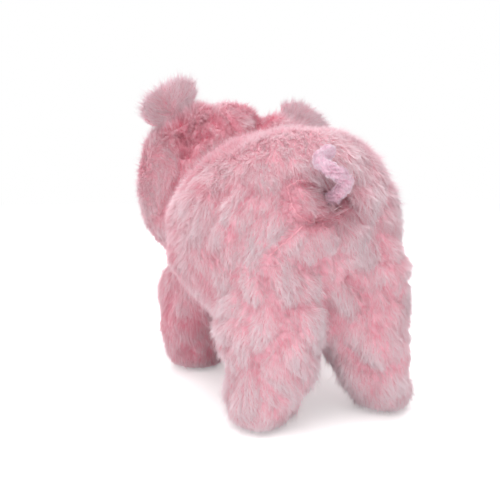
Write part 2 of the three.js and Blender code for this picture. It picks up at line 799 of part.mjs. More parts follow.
for (const [side, sign] of sides) {
  place(`nostril_${side}`, nostrilPad(sign, 0, nostrilDepth, nostrilSink - seamGap), nostrilRose);
  place(`eye_${side}`, eyeShape(eyeFrame(sign)), eyeBlack);
  place(`eye_washer_${side}`, washerShape(eyeFrame(sign)), washerWhite);
  const ear = earPieces(sign);
  place(`ear_${side}_back`, ear.back, furPink);
  place(`ear_${side}_lining`, ear.lining, pilePink);
}

for (const [end, rear] of [['rear', true], ['front', false]]) {
  for (const [side, sign] of sides) {
    const leg = legPieces(rear, sign);
    place(`${end}_leg_${side}`, leg.skin, furPink);
    place(`${end}_sole_${side}`, leg.sole, furPink);
    place(`${end}_leg_stuffing_${side}`, leg.stuffing, fillWhite);
  }
}

const tail = tailPieces();
place('tail_sleeve', tail.sleeve, pilePink);
place('tail_cord', tail.cord, fillWhite);

// The origin is under the middle of the whole toy, on the floor.
const bounds = new THREE.Box3().setFromObject(pig);
const middle = bounds.getCenter(new THREE.Vector3());
pig.position.set(-middle.x, -middle.y, -bounds.min.z);

export default pig;
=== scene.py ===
"""Looks of a standing plush pig, in metres: long pink pile over sewn panels, a short-pile snout and
tail, plastic safety eyes. The pig looks along -Y, its left side is +X, and it stands on z = 0."""

import json
import math
from collections import namedtuple

import bmesh
import bpy
import numpy as np
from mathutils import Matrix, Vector
from mathutils.bvhtree import BVHTree
from mathutils.kdtree import KDTree


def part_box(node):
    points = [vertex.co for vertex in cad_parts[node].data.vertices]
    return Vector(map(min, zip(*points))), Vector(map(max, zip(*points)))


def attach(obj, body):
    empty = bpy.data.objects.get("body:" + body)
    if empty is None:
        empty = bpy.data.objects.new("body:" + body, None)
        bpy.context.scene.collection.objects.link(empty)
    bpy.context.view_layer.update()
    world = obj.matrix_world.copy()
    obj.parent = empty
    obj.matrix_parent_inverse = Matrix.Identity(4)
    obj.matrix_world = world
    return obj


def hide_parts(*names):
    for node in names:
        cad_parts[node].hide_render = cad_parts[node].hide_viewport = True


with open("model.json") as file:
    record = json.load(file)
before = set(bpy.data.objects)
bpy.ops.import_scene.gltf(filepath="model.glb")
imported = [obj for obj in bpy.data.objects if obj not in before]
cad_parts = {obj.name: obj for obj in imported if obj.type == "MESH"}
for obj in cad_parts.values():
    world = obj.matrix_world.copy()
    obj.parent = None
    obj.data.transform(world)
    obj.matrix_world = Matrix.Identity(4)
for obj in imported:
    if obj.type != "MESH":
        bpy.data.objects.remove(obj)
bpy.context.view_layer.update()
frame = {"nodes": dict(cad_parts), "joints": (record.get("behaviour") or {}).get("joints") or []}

# Camera, as the photograph was taken: from behind, a little above the back
CAMERA_AZIMUTH = math.radians(157.5)
CAMERA_ELEVATION = math.radians(5.4)
CAMERA_DISTANCE = 0.4963
CAMERA_TARGET = Vector((0.0297, 0.0294, 0.1067))
CAMERA_LENS = 46.8
CAMERA_CLIP = (0.01, 20)
SENSOR_WIDTH = 36.0
PHOTO_SIZE = 500

# Cloth under the pile: how fine its mesh is, how thick it is, and how far it lies under the outside
SKIN_VOXEL = 0.0024
SKIN_SMOOTHING = 6
SKIN_THICKNESS = 0.0012
PILE_HEIGHT = 0.0026
SOLE_PILE = 0.0012
SOLE_START = 0.001
SOLE_RISE = 0.016
FINE_SMOOTHING = 3
EAR_VOXEL = 0.0014
EAR_SHEET = 0.0008
EAR_PILE_HEIGHT = 0.0014
EAR_RIM_SHARE = 0.09
EAR_PARTING = 0.007
SNOUT_VOXEL = 0.0016
SNOUT_PILE_HEIGHT = 0.0012
TAIL_VOXEL = 0.0007
TAIL_SHEET = 0.0008
TAIL_PILE_HEIGHT = 0.0007
INSET_STEPS = 5

# Pockets of the crumpled cloth, and its lumps
POCKET_SIZE = 0.024
POCKET_SHIFT = 0.45
POCKET_WARP_SIZE = 0.022
POCKET_WARP = 0.006
POCKET_DEPTH = 0.0030
POCKET_EDGE = 0.0026
LUMP_SIZE = 0.034
LUMP_HEIGHT = 0.0022
SMALL_LUMP_SIZE = 0.012
SMALL_LUMP_HEIGHT = 0.0008

# How strongly a seam draws the cloth in: the first of these whose words its two pieces' names hold
SEAM_WEIGHTS = {("rump_patch",): 1.0, ("sole",): 0.3, ("leg",): 0.15, ("head", "body"): 0.5, (): 0.35}

# Seams, folds and joins between the pieces
SEAM_DEPTH = 0.0022
SEAM_REACH = 0.003
SEAM_STEPS = 2
CREASE_DEPTH = 0.0040
CREASE_REACH = 0.0028
CREASE_REACH_SHARES = (0.6, 0.6)
# Painted shade in creases, pockets and seams, which also shortens the pile there: how wide its valley is
# blurred, how sharp each kind is, and its share close by and over the wider valley
VALLEY_STEPS = 6
POCKET_SHARPNESS = 0.8
SEAM_SHARPNESS = 0.7
CREASE_SHADE_NEAR = 0.85
CREASE_SHADE_WIDE = 0.35
JOIN_REACH = 0.018
JOIN_STEPS = 140
HOLLOW_STRETCH = 3.5
FOLD_STEP_PX = 1.5

# How crumpled the cloth is, and along y or z the ranges over which that comes and goes
CRUMPLE_SHARES = {"all": 0.15, "rump": 0.7, "low": 0.45, "head": 0.15}
CRUMPLE_RUMP_Y = (0.03, 0.09)
CRUMPLE_RUMP_Z = (0.14, 0.19)
CRUMPLE_LOW_Z = (0.05, 0.11)
CRUMPLE_HEAD_Y = (-0.04, -0.07)

# Lean of the pile away from seams, folds and the edges of pockets, and towards roots
LEAN_REACH = 0.0050
POCKET_LEAN = 0.22
SEAM_LEAN = 0.5
LEAN_WEIGHT = 1.5
EAR_TUFT_REACH = 0.020
EAR_TUFT_RISE = 1.5
TAIL_TUFT_REACH = 0.016
TAIL_TUFT_LEAN = 1.0
TAIL_TUFT_RISE = 2.0
# Painted shade round the tail's root: its reach, and how much it deepens the pile's colour and shortens the
# pile
TAIL_SHADE_REACH = 0.013
TAIL_SHADE = 1.3
SNOUT_TUFT_REACH = 0.005
SNOUT_TUFT_BACK = 0.01
SNOUT_TUFT_LEAN = 0.5
SNOUT_TUFT_RISE = 0.5
CROWN_RISE = 0.15
CROWN_Z = (0.17, 0.195)

# The way the pile is brushed, with what is added towards the top
BODY_FLOW = np.array([0.0, 0.35, -0.9])
BODY_TOP_FLOW = np.array([0.0, 0.7, 0.3])
HEAD_FLOW = np.array([0.0, 0.7, -0.5])
HEAD_TOP_FLOW = np.array([0.0, 0.1, 0.9])
FLOW_HEAD_Y = (-0.035, -0.06)
FLOW_HEAD_Z = (0.09, 0.12)
FLOW_TOP_Z = (0.15, 0.19)
EAR_FLOW_ALONG = 0.8
SNOUT_FLOW = np.array([0.0, 0.6, -0.2])
TAIL_FLOW = (0.0, 0.0, 1.0)

# Clumps of pile: how they vary at random, and in patches as noises of a size and weight
STRANDS_PER_PIECE = 48000
STRANDS_PER_CLUMP = 4
FLOOR_GAP = 0.0003
FLOOR_FADE_Z = (0.001, 0.012)
FLOOR_LENGTH = 0.35
FLOOR_LIFT = 0.3
WAY_STRAY = 0.05
TURN_STRAY = 0.25
TURN_WIDE = (0.026, 0.70)
TURN_FINE = (0.008, 0.85)
LENGTH_STRAY = 0.14
LENGTH_RANGE = (0.6, 1.4)
LENGTH_PATCH = (0.011, 0.12)
LENGTH_CREASED = 0.5
LIFT_STRAY = 0.25
LIFT_RANGE = (0.08, 2)
LIFT_PATCH = (0.013, 0.35)
NAP_CRUMPLE = 1.6
NAP_SHORTER = 0.22
NAP_LIFT = 0.16
TUFT_SHARE = 0.12
TUFT_LONGER = 0.22
TUFT_LIFT = (0.2, 0.6)
GUARD_LIFT = (0.2, 0.9)
GUARD_TONE = 0.2

# A strand is a thin blade with a low ridge: two corners at its root, its tip and one on its ridge
BLADE_FACES = [(1, 0, 2), (0, 1, 3), (2, 0, 3), (1, 2, 3)]
BLADE_RIM = {(0, 1), (1, 2), (0, 2)}
BLADE_ACROSS = [0, 0.04, 0.02, 0.02]
BLADE_ALONG = [0, 0, 1, 0.4]
BLADE_RIDGE_SHARE = 0.4
BLADE_THICKNESS = 0.4

# Tone of the pile, from 0 for deep, the colour painted as shade in creases and hollows, to 1 for pale. The
# first of these is how far painted crease shade lowers the tone
CREASE_SHADE_TONE = 0.55
TONE_STRAY = 0.13
TONE_STRAND_STRAY = 0.10
TONE_RANGE = (0.02, 0.94)
TONE_STRAND_RANGE = (0.01, 0.95)
TONE_SHARES = {"all": 0.37, "rear": 0.42, "rear_low": 0.10, "head": 0.10}
TONE_REAR_Y = (0.02, 0.11)
TONE_LOW_Z = (0.05, 0.12)
TONE_HEAD_Y = (-0.03, -0.06)
TONE_PATCHES = ((0.03, 0.12), (0.011, 0.14), (0.005, 0.10))
EAR_TONE = 0.50
EAR_TIP_TONE = 0.42
EAR_TIP_RANGE = (0.008, 0.032)
EAR_TONE_PATCH = (0.012, 0.2)
SNOUT_TONE = 0.5
SNOUT_TONE_PATCH = (0.01, 0.25)
TAIL_TONE = 0.62
TAIL_TONE_PATCH = (0.004, 0.22)

# Shaders
# Tones over which the deep colour of painted shade gives way to rosy, and rosy to pale
DEEP_SHADE_TO_ROSY = (0, 0.4)
ROSY_TO_PALE = (0.3, 1)
PILE_SHADER = {
    "Roughness": 0.85,
    "Specular IOR Level": 0.15,
    "Sheen Weight": 0.35,
    "Sheen Roughness": 0.5,
    "Sheen Tint": (1.0, 0.84, 0.88, 1.0),
}
CLOTH_SHADER = {"Roughness": 0.95, "Specular IOR Level": 0.1, "Sheen Weight": 0.5, "Sheen Roughness": 0.5}
CLOUD_STOPS = (0.3, 0.7)
PLASTIC_CLOUDS = 220
PLASTIC_DARKER = 0.92
BUMP_FINER = 3
BUMP_STRENGTH = 0.6

# Nostrils and eyes
NOSTRIL_MARGIN = 0.0006
NOSTRIL_THREADS = 14
NOSTRIL_STEPS_PER_THREAD = 6
NOSTRIL_RINGS = 14
NOSTRIL_RIDGE = 0.00022
NOSTRIL_RIM = 0.3
EYE_ARC_STEPS = 14
EYE_RIM = 0.98
EYE_STEM_GAP = 0.0005
EYE_STEM_ROUND = 0.4
EYE_BACK_ROUND = 0.05
LATHE_STEPS = 48

# Wrinkles of the gathered tail
TAIL_WRINKLE = 0.0045
TAIL_WRINKLE_STRETCH = np.array([0.6, 0.6, 1.6])
TAIL_WRINKLE_EDGE = (0.72, 0.98)
TAIL_WRINKLE_FADE = (0.45, 0.9)
TAIL_CREASE = 0.0011
# How much the tail's wrinkles deepen its pile's colour, as painted shade
TAIL_CREASE_SHADE = 0.8

# Filling, each kind with the size of its mesh and of its lumps. In lumps: how far it is drawn in, and its
# waves with their size and weight
BODY_FILLING = (0.003, 0.001)
SNOUT_FILLING = (0.002, 0.0007)
CORD_FILLING = (0.0008, 0.0002)
FILLING_SMOOTHING = 4
FILLING_MARGIN = 0.0018
CORD_MARGIN = 1.2
FILLING_DRAWN = 1.2
FILLING_WAVES = ((7, 1), (3, 0.3))
WALL_SPARE = 0.004
TAIL_HOLLOW = 0.0100

# Thread of the closing seam
THREAD_RADIUS = 0.00036
THREAD_LIFT = 0.0009
THREAD_STEPS = 8
THREAD_BOB = 5
THREAD_SIDES = 8

# Light and floor: each lamp has its place, size and power
LAMP_TARGET = (0, 0, 0.1)
LAMPS = {
    "side": ((1.9, -0.4, 0.25), 1.4, 4),
    "front": ((0.5, -1.8, 0.8), 1.4, 6),
    "top": ((0.0, -0.2, 2.0), 1.6, 28),
    "back": ((0.9, 1.2, 1.2), 1.4, 8),
}
WORLD_LEVEL = 0.68
FLOOR_HALF = 6.0
FLOOR_WHITE = 0.96
FLOOR_GLOW = 0.35

SEED = 7


def unit(v):
    """Rows scaled to length one."""
    return v / np.maximum(np.linalg.norm(v, axis=-1, keepdims=True), 1e-12)


def smoothstep(low, high, x):
    """A share that grows from 0 to 1 as x goes from low to high."""
    t = np.clip((x - low) / (high - low), 0, 1)
    return t * t * (3 - 2 * t)


def fading(distance, reach):
    """A share that is 1 at a distance of nought and fades out about twice the reach away."""
    return np.exp(-((distance / reach) ** 2))


def near(offsets, reach):
    """The same for rows of offsets from a place."""
    return fading(np.linalg.norm(offsets, axis=1), reach)


class Noise:
    """Smooth random values in space from -1 to 1, the same at each run."""

    CELLS = 32

    def __init__(self, size, seed):
        self.size = size
        self.table = np.random.RandomState(seed).uniform(-1, 1, (self.CELLS,) * 3)

    def __call__(self, points):
        cell = np.asarray(points) / self.size
        base = np.floor(cell).astype(int)
        part = cell - base
        part = part * part * (3 - 2 * part)
        total = np.zeros(len(cell))
        for corner in np.ndindex(2, 2, 2):
            weight = np.prod(np.where(corner, part, 1 - part), axis=1)
            x, y, z = ((base + corner) % self.CELLS).T
            total += weight * self.table[x, y, z]
        return total


# Camera


def aimed(name, data, place, way):
    """A camera or lamp that stands at a place and looks along a way."""
    obj = bpy.data.objects.new(name, data)
    obj.location = place
    obj.rotation_mode = "QUATERNION"
    obj.rotation_quaternion = way.to_track_quat("-Z", "Y")
    bpy.context.collection.objects.link(obj)
    return obj


def make_camera():
    data = bpy.data.cameras.new("camera")
    data.lens, data.sensor_width = CAMERA_LENS, SENSOR_WIDTH
    data.clip_start, data.clip_end = CAMERA_CLIP
    a, e = CAMERA_AZIMUTH, CAMERA_ELEVATION
    back = Vector((math.sin(a) * math.cos(e), -math.cos(a) * math.cos(e), math.sin(e)))
    camera = aimed("camera", data, CAMERA_TARGET + back * CAMERA_DISTANCE, -back)
    bpy.context.scene.camera = camera
    return camera


def pixel_ray(x, y):
    """Where the camera stands, and the direction in which it sees a pixel of the photograph."""
    focal = CAMERA_LENS / SENSOR_WIDTH * PHOTO_SIZE
    local = Vector((x - PHOTO_SIZE / 2, PHOTO_SIZE / 2 - y, -focal))
    return camera.location, (camera.rotation_quaternion @ local).normalized()


def part_way(first, last, share):
    """A place on the line between two pixels."""
    return [a + (b - a) * share for a, b in zip(first, last)]


def seen_point(tree, x, y):
    """Where the camera sees a surface at a pixel of the photograph, or None beside it."""
    return tree.ray_cast(*pixel_ray(x, y))[0]


# Places in the frame


def joint_place(name):
    return np.array(next(j for j in frame["joints"] if j["name"] == name)["pos_m"])


# The middles of the root seams
TAIL_ROOT = joint_place("tail_swing")
EAR_ROOTS = {side: joint_place(f"ear_{side}_fold") for side in ("left", "right")}


# Meshes


def values_of(items, name, width, kind=float):
    """What Blender holds for many items, as rows of an array."""
    values = np.zeros(len(items) * width, kind)
    items.foreach_get(name, values)
    return values.reshape(-1, width)


def node_mesh(node):
    """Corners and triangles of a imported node."""
    mesh = frame["nodes"][node].data
    mesh.calc_loop_triangles()
    return values_of(mesh.vertices, "co", 3), values_of(mesh.loop_triangles, "vertices", 3, int)


def gathered(nodes):
    """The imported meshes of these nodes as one, with the number of the node that each face is from."""
    corners, faces, labels, count = [], [], [], 0
    for number, node in enumerate(nodes):
        c, f = node_mesh(node)
        corners.append(c)
        faces.append(f + count)
        labels.append(np.full(len(f), number))
        count += len(c)
    return np.concatenate(corners), np.concatenate(faces), np.concatenate(labels)


def new_mesh(name, corners, polygons):
    """A smooth mesh from corners and an array of polygons that all have as many sides."""
    mesh = bpy.data.meshes.new(name)
    sides = polygons.shape[1]
    mesh.vertices.add(len(corners))
    mesh.vertices.foreach_set("co", np.ascontiguousarray(corners, np.float32).ravel())
    mesh.loops.add(polygons.size)
    mesh.loops.foreach_set("vertex_index", np.ascontiguousarray(polygons, np.int32).ravel())
    mesh.polygons.add(len(polygons))
    mesh.polygons.foreach_set("loop_start", np.arange(len(polygons), dtype=np.int32) * sides)
    mesh.update(calc_edges=True)
    mesh.shade_smooth()
    return mesh


def new_object(name, mesh, material):
    obj = bpy.data.objects.new(name, mesh)
    bpy.context.collection.objects.link(obj)
    obj.data.materials.append(material)
    return obj


def quad_sides(quads):
    """Pairs of corners along the four sides of each quad."""
    return np.stack([quads, np.roll(quads, -1, axis=1)], -1).reshape(-1, 2)


class Skin:
    """A smooth closed surface over some nodes: corners, quads, normals and what each face belongs to."""

    def __init__(self, nodes, voxel, smoothing, labelled=None):
        corners, faces, _ = gathered(nodes)
        mesh = bpy.data.meshes.new("form")
        mesh.from_pydata(corners.tolist(), [], faces.tolist())
        form = bpy.data.objects.new("form", mesh)
        bpy.context.collection.objects.link(form)
        remesh = form.modifiers.new("remesh", "REMESH")
        remesh.mode, remesh.voxel_size = "VOXEL", voxel
        soften = form.modifiers.new("soften", "SMOOTH")
        soften.factor, soften.iterations = 0.5, smoothing
        whole = form.evaluated_get(bpy.context.evaluated_depsgraph_get()).to_mesh()
        self.corners = values_of(whole.vertices, "co", 3)
        self.quads = np.array([p.vertices for p in whole.polygons if len(p.vertices) == 4], int)
        form.to_mesh_clear()
        bpy.data.objects.remove(form)
        bpy.data.meshes.remove(mesh)
        self.outer = self.corners.copy()
        self.find_normals()
        self.nodes = labelled or nodes
        corners, faces, labels = gathered(self.nodes)
        tree = BVHTree.FromPolygons(corners.tolist(), faces.tolist())
        middles = self.corners[self.quads].mean(1)
        self.labels = labels[np.array([tree.find_nearest(m)[2] for m in middles.tolist()])]
        self.creased, self.drawn, self.rise, self.nap = np.zeros((4, len(self.corners)))
        self.lean = np.zeros_like(self.corners)

    def find_normals(self):
        """Works out the normal at each corner from the quads round it."""
        a, b, c, d = (self.corners[self.quads[:, i]] for i in range(4))
        across = np.cross(c - a, d - b)
        total = np.zeros_like(self.corners)
        for i in range(4):
            np.add.at(total, self.quads[:, i], across)
        self.normals = unit(total)

    def tree(self):
        """The surface as a tree that rays and places are looked up in."""
        return BVHTree.FromPolygons(self.corners.tolist(), self.quads.tolist())

    def edges(self):
        """Pairs of corners that an edge joins."""
        return np.unique(np.sort(quad_sides(self.quads), axis=1), axis=0)

    def blurred(self, values, steps):
        """Values at the corners, evened out over their neighbours."""
        pairs = self.edges()
        here, there = np.concatenate([pairs, pairs[:, ::-1]]).T
        count = len(values)
        share = np.bincount(here, minlength=count)[:, None]
        columns = values.reshape(count, -1)
        for _ in range(steps):
            total = [np.bincount(here, weights=column[there], minlength=count) for column in columns.T]
            columns = (columns + np.stack(total, 1) / share) / 2
        return columns.reshape(values.shape)

    def seam_corners(self, weight_of):
        """Corners where faces of two nodes meet, each with the weight of that seam."""
        low = np.full(len(self.corners), len(self.nodes))
        high = np.full(len(self.corners), -1)
        for i in range(4):
            np.minimum.at(low, self.quads[:, i], self.labels)
            np.maximum.at(high, self.quads[:, i], self.labels)
        found = np.nonzero(high > low)[0]
        weights = [weight_of(self.nodes[low[i]], self.nodes[high[i]]) for i in found]
        return found, np.array(weights)

    def inset(self, depth):
        """Draws the surface in, evening it out on the way, so that thin rims draw back."""
        for _ in range(INSET_STEPS):
            self.corners = self.blurred(self.corners, 1)
            self.find_normals()
            self.corners = self.corners - self.normals * (depth / INSET_STEPS)
        self.find_normals()

    def panel(self, number):
        """The corners that one node's part uses, and its quads with their corners renumbered."""
        quads = self.quads[self.labels == number]
        used, again = np.unique(quads, return_inverse=True)
        return used, again.reshape(quads.shape)


def place_tree(places):
    tree = KDTree(len(places))
    for number, place in enumerate(places.tolist()):
        tree.insert(place, number)
    tree.balance()
    return tree


def nearest(points, targets):
    """For each point, its distance to the nearest target, that target's number and the way from it."""
    tree = place_tree(targets)
    found = [tree.find(p) for p in points.tolist()]
    distance = np.array([f[2] for f in found])
    number = np.array([f[1] for f in found])
    away = unit(points - targets[number])
    return distance, number, away


def thick_sheet(name, corners, normals, quads, thickness, material):
    """A sheet with its edges closed, laid inward from the given surface."""
    count = len(corners)
    inner = corners - normals * thickness
    sides = quad_sides(quads)
    _, first, times = np.unique(np.sort(sides, axis=1), axis=0, return_index=True, return_counts=True)
    rim = sides[first[times == 1]]
    walls = np.column_stack([rim[:, 1], rim[:, 0], rim[:, 0] + count, rim[:, 1] + count])
    polygons = np.concatenate([quads, quads[:, ::-1] + count, walls])
    return new_object(name, new_mesh(name, np.concatenate([corners, inner]), polygons), material)


def weld(piece):
    """Joins the corners that lie on one point, such as the middle of a disc."""
    whole = bmesh.new()
    whole.from_mesh(piece.data)
    bmesh.ops.remove_doubles(whole, verts=whole.verts, dist=1e-6)
    bmesh.ops.recalc_face_normals(whole, faces=whole.faces)
    whole.to_mesh(piece.data)
    whole.free()


def ringed(name, rings, material, in_triangles=False):
    """A closed form through rings of corners, of which the first and the last are shrunk to a point."""
    count, around, _ = np.shape(rings)
    i, j = np.divmod(np.arange((count - 1) * around), around)
    a, b = i * around + j, i * around + (j + 1) % around
    faces = np.stack([a, b, b + around, a + around], 1)
    if in_triangles:
        faces = faces[:, [0, 1, 2, 0, 2, 3]].reshape(-1, 3)
    piece = new_object(name, new_mesh(name, np.reshape(rings, (-1, 3)), faces), material)
    weld(piece)
    return piece


def circle(side, up, steps):
    """Points at even steps round a circle of radius one."""
    angles = [2 * math.pi * j / steps for j in range(steps)]
    return np.array([side * math.cos(a) + up * math.sin(a) for a in angles])


# Materials


def node_material(name):
    material = bpy.data.materials.new(name)
    material.use_nodes = True
    tree = material.node_tree
    shader = next(n for n in tree.nodes if n.type == "BSDF_PRINCIPLED")
    return material, tree, shader


def set_inputs(node, values):
    for name, value in values.items():
        node.inputs[name].default_value = value


def add_node(tree, kind, values={}, links={}, **settings):
    """A shader node with its settings, the values of its inputs and what is linked to them."""
    node = tree.nodes.new(f"ShaderNode{kind}")
    for name, setting in settings.items():
        setattr(node, name, setting)
    set_inputs(node, values)
    for name, source in links.items():
        tree.links.new(source, node.inputs[name])
    return node


def colour_ramp(tree, source, stops):
    ramp = add_node(tree, "ValToRGB", links={"Fac": source})
    elements = ramp.color_ramp.elements
    while len(elements) < len(stops):
        elements.new(0.5)
    for element, (place, colour) in zip(elements, stops):
        element.position = place
        element.color = (*colour, 1)
    return ramp.outputs["Color"]


def noise_texture(tree, scale):
    place = add_node(tree, "TexCoord").outputs["Object"]
    values = {"Scale": scale, "Detail": 3.0, "Roughness": 0.6}
    return add_node(tree, "TexNoise", values, {"Vector": place}).outputs["Fac"]


def mixed(tree, factor, first, second):
    links = {"Factor": factor, "A": first, "B": second}
    return add_node(tree, "Mix", links=links, data_type="RGBA").outputs["Result"]


def between(tree, value, low, high):
    """A share that grows from 0 to 1 as a value goes from low to high."""
    values = {"From Min": low, "From Max": high}
    share = add_node(tree, "MapRange", values, {"Value": value}, interpolation_type="SMOOTHSTEP")
    return share.outputs["Result"]


def pile_material(name, deep_shade, rosy, pale):
    """Fibres coloured by tone, from the deep colour painted as shade in folds and hollows to rosy to pale,
    each a list of stops from root to tip.
    """
    material, tree, shader = node_material(name)
    place = add_node(tree, "UVMap", uv_map="OFBake").outputs["UV"]
    split = add_node(tree, "SeparateXYZ", links={"Vector": place})
    tone = split.outputs["X"]
    deep_shade, rosy, pale = (colour_ramp(tree, split.outputs["Y"], stops) for stops in (deep_shade, rosy, pale))
    dark = mixed(tree, between(tree, tone, *DEEP_SHADE_TO_ROSY), deep_shade, rosy)
    whole = mixed(tree, between(tree, tone, *ROSY_TO_PALE), dark, pale)
    tree.links.new(whole, shader.inputs["Base Color"])
    set_inputs(shader, PILE_SHADER)
    return material


def clouded(tree, shader, scale, dark, light):
    """Colours a shader by a noise, from dark to light."""
    stops = list(zip(CLOUD_STOPS, (dark, light)))
    tree.links.new(colour_ramp(tree, noise_texture(tree, scale), stops), shader.inputs["Base Color"])


def cloth_material(name, dark, light, scale, bump):
    material, tree, shader = node_material(name)
    clouded(tree, shader, scale, dark, light)
    set_inputs(shader, CLOTH_SHADER)
    values = {"Distance": bump, "Strength": BUMP_STRENGTH}
    bumps = add_node(tree, "Bump", values, {"Height": noise_texture(tree, scale * BUMP_FINER)})
    tree.links.new(bumps.outputs["Normal"], shader.inputs["Normal"])
    return material


def plain_material(name, colour, roughness, gloss=0.5):
    """Moulded plastic, with a faint clouding in its colour."""
    material, tree, shader = node_material(name)
    clouded(tree, shader, PLASTIC_CLOUDS, tuple(c * PLASTIC_DARKER for c in colour), colour)
    set_inputs(shader, {"Roughness": roughness, "Specular IOR Level": gloss})
    return material


fur_material = pile_material(
    "long_pile",
    deep_shade=[(0.0, (0.86, 0.19, 0.30)), (0.5, (0.90, 0.34, 0.44)), (1.0, (0.94, 0.50, 0.59))],
    rosy=[
        (0.0, (0.96, 0.54, 0.61)),
        (0.4, (0.97, 0.64, 0.70)),
        (0.7, (0.98, 0.73, 0.79)),
        (1.0, (0.99, 0.83, 0.87)),
    ],
    pale=[
        (0.0, (0.98, 0.66, 0.72)),
        (0.4, (0.99, 0.78, 0.83)),
        (0.7, (0.99, 0.86, 0.90)),
        (1.0, (0.99, 0.92, 0.95)),
    ],
)
terry_material = pile_material(
    "short_pile",
    deep_shade=[(0.0, (0.76, 0.24, 0.40)), (1.0, (0.84, 0.42, 0.56))],
    rosy=[(0.0, (0.84, 0.48, 0.61)), (0.5, (0.91, 0.65, 0.76)), (1.0, (0.94, 0.75, 0.85))],
    pale=[(0.0, (0.90, 0.66, 0.77)), (0.5, (0.94, 0.80, 0.89)), (1.0, (0.97, 0.89, 0.96))],
)
PILE_MATERIALS = {"fur": fur_material, "short_pile": terry_material}
backing_material = cloth_material("fur_backing", (0.84, 0.40, 0.48), (0.90, 0.50, 0.58), 300, 0.0004)
terry_backing = cloth_material("short_pile_backing", (0.80, 0.48, 0.60), (0.88, 0.60, 0.72), 500, 0.0003)
filling_material = cloth_material("polyester_filling", (0.80, 0.79, 0.76), (0.93, 0.92, 0.90), 160, 0.0012)
satin_material = cloth_material("satin_stitch", (0.50, 0.13, 0.22), (0.62, 0.20, 0.30), 900, 0.0001)
thread_material = cloth_material("seam_thread", (0.94, 0.42, 0.50), (0.98, 0.54, 0.61), 1500, 0.0001)
eye_material = plain_material("eye_plastic", (0.008, 0.007, 0.007), 0.08, 0.2)
washer_material = plain_material("washer_plastic", (0.80, 0.79, 0.75), 0.45)

camera = make_camera()

BODY_NODES = (
    "body_panel_left body_panel_right belly_gusset rump_patch "
    "head_panel_left head_panel_right forehead_gusset "
    "rear_leg_left rear_leg_right front_leg_left front_leg_right "
    "rear_sole_left rear_sole_right front_sole_left front_sole_right"
).split()
FILLING_NODES = (
    "body_stuffing head_stuffing rear_leg_stuffing_left rear_leg_stuffing_right "
    "front_leg_stuffing_left front_leg_stuffing_right"
).split()

skin = Skin(BODY_NODES + FILLING_NODES, SKIN_VOXEL, SKIN_SMOOTHING, BODY_NODES)


def seam_weight(first, second):
    """The weight of the seam between two pieces."""
    both = f"{first} {second}"
    return next(weight for words, weight in SEAM_WEIGHTS.items() if all(word in both for word in words))


# Folds seen in the photograph: how deep each is, how far it parts the pile, and pixel places along it
FOLDS_PX = {
    "rump_above_patch": (0.8, 0.5, [(285, 178), (290, 173), (300, 171), (309, 173)]),
    "patch_to_flank": (0.7, 1.6, [(303, 227), (290, 238), (272, 254), (264, 262)]),
    "patch_low": (0.9, 1.0, [(302, 218), (309, 215), (315, 222), (322, 217)]),
    "patch_side": (0.5, 2.0, [(287, 187), (290, 200), (298, 214)]),
    "patch_top": (0.5, 2.0, [(289, 186), (298, 183), (310, 181)]),
    "thigh_left": (1.1, 0.5, [(262, 278), (272, 293), (280, 307), (293, 318), (303, 327)]),
    "under_tail": (1.0, 0.5, [(327, 262), (328, 275), (328, 293), (332, 303)]),
    "crotch": (1.6, 0.5, [(332, 303), (334, 318), (333, 330)]),
    "crotch_left": (0.8, 0.5, [(287, 330), (268, 347), (250, 361)]),
    "shin_left": (0.8, 0.5, [(249, 366), (266, 384), (284, 400)]),
    "thigh_right": (1.1, 0.5, [(353, 279), (362, 288), (374, 294), (377, 312), (376, 330)]),
    "thigh_right_outer": (1.0, 0.5, [(383, 283), (390, 295), (399, 301)]),
    "rump_right": (0.9, 0.5, [(376, 232), (381, 245), (381, 262)]),
    "shin_right": (0.8, 0.5, [(345, 352), (360, 366), (378, 372), (392, 362)]),
    "flank_low": (0.7, 0.5, [(236, 290), (246, 306), (243, 326)]),
    "hip_fold": (0.9, 0.5, [(302, 262), (312, 265), (324, 262), (337, 258), (352, 252)]),
    "rump_low": (0.7, 0.5, [(287, 305), (300, 303), (312, 307)]),
    "neck": (2.2, 0.4, [(183, 130), (187, 142), (182, 155)]),
    "neck_low": (0.7, 0.3, [(182, 155), (179, 165), (172, 188), (162, 207)]),
    "neck_top": (1.4, 0.5, [(187, 143), (197, 136), (206, 131)]),
    "crown": (0.8, 0.5, [(231, 114), (236, 120), (241, 126)]),
    "crown_left": (1.3, 0.3, [(209, 106), (213, 113), (219, 121)]),
    "crown_right": (1.9, 0.3, [(268, 113), (262, 121), (256, 130)]),
    "ear_base": (0.8, 0.5, [(160, 130), (172, 126), (181, 121)]),
    "cheek": (0.6, 0.5, [(150, 221), (156, 216), (162, 212)]),
    "shoulder": (0.9, 0.5, [(252, 187), (243, 198), (238, 209)]),
    "shoulder_low": (0.5, 0.5, [(232, 216), (228, 226), (225, 234)]),
}

# Places along the photograph's outline where the stuffing is fuller or, with a height below nought, where
# the cloth is hollow: a pixel place, reach and height
SWELLS_PX = {
    "crown_left": ((211, 107), 0.006, -0.006),
    "crown_right": ((263, 112), 0.010, -0.010),
    "ear_left_root": ((202, 109), 0.008, 0.005),
    "ear_right_root": ((277, 118), 0.009, 0.004),
    "head_left": ((152, 146), 0.016, 0.005),
    "flank_right": ((392, 248), 0.020, 0.004),
    "rump_right": ((393, 276), 0.022, 0.009),
    "thigh_right": ((400, 330), 0.018, 0.002),
    "shin_right": ((398, 362), 0.018, 0.008),
    "shin_left_inner": ((301, 376), 0.018, 0.008),
    "shin_left": ((232, 392), 0.016, 0.002),
    "front_shin": ((168, 330), 0.018, 0.004),
    "elbow": ((174, 258), 0.012, 0.005),
}

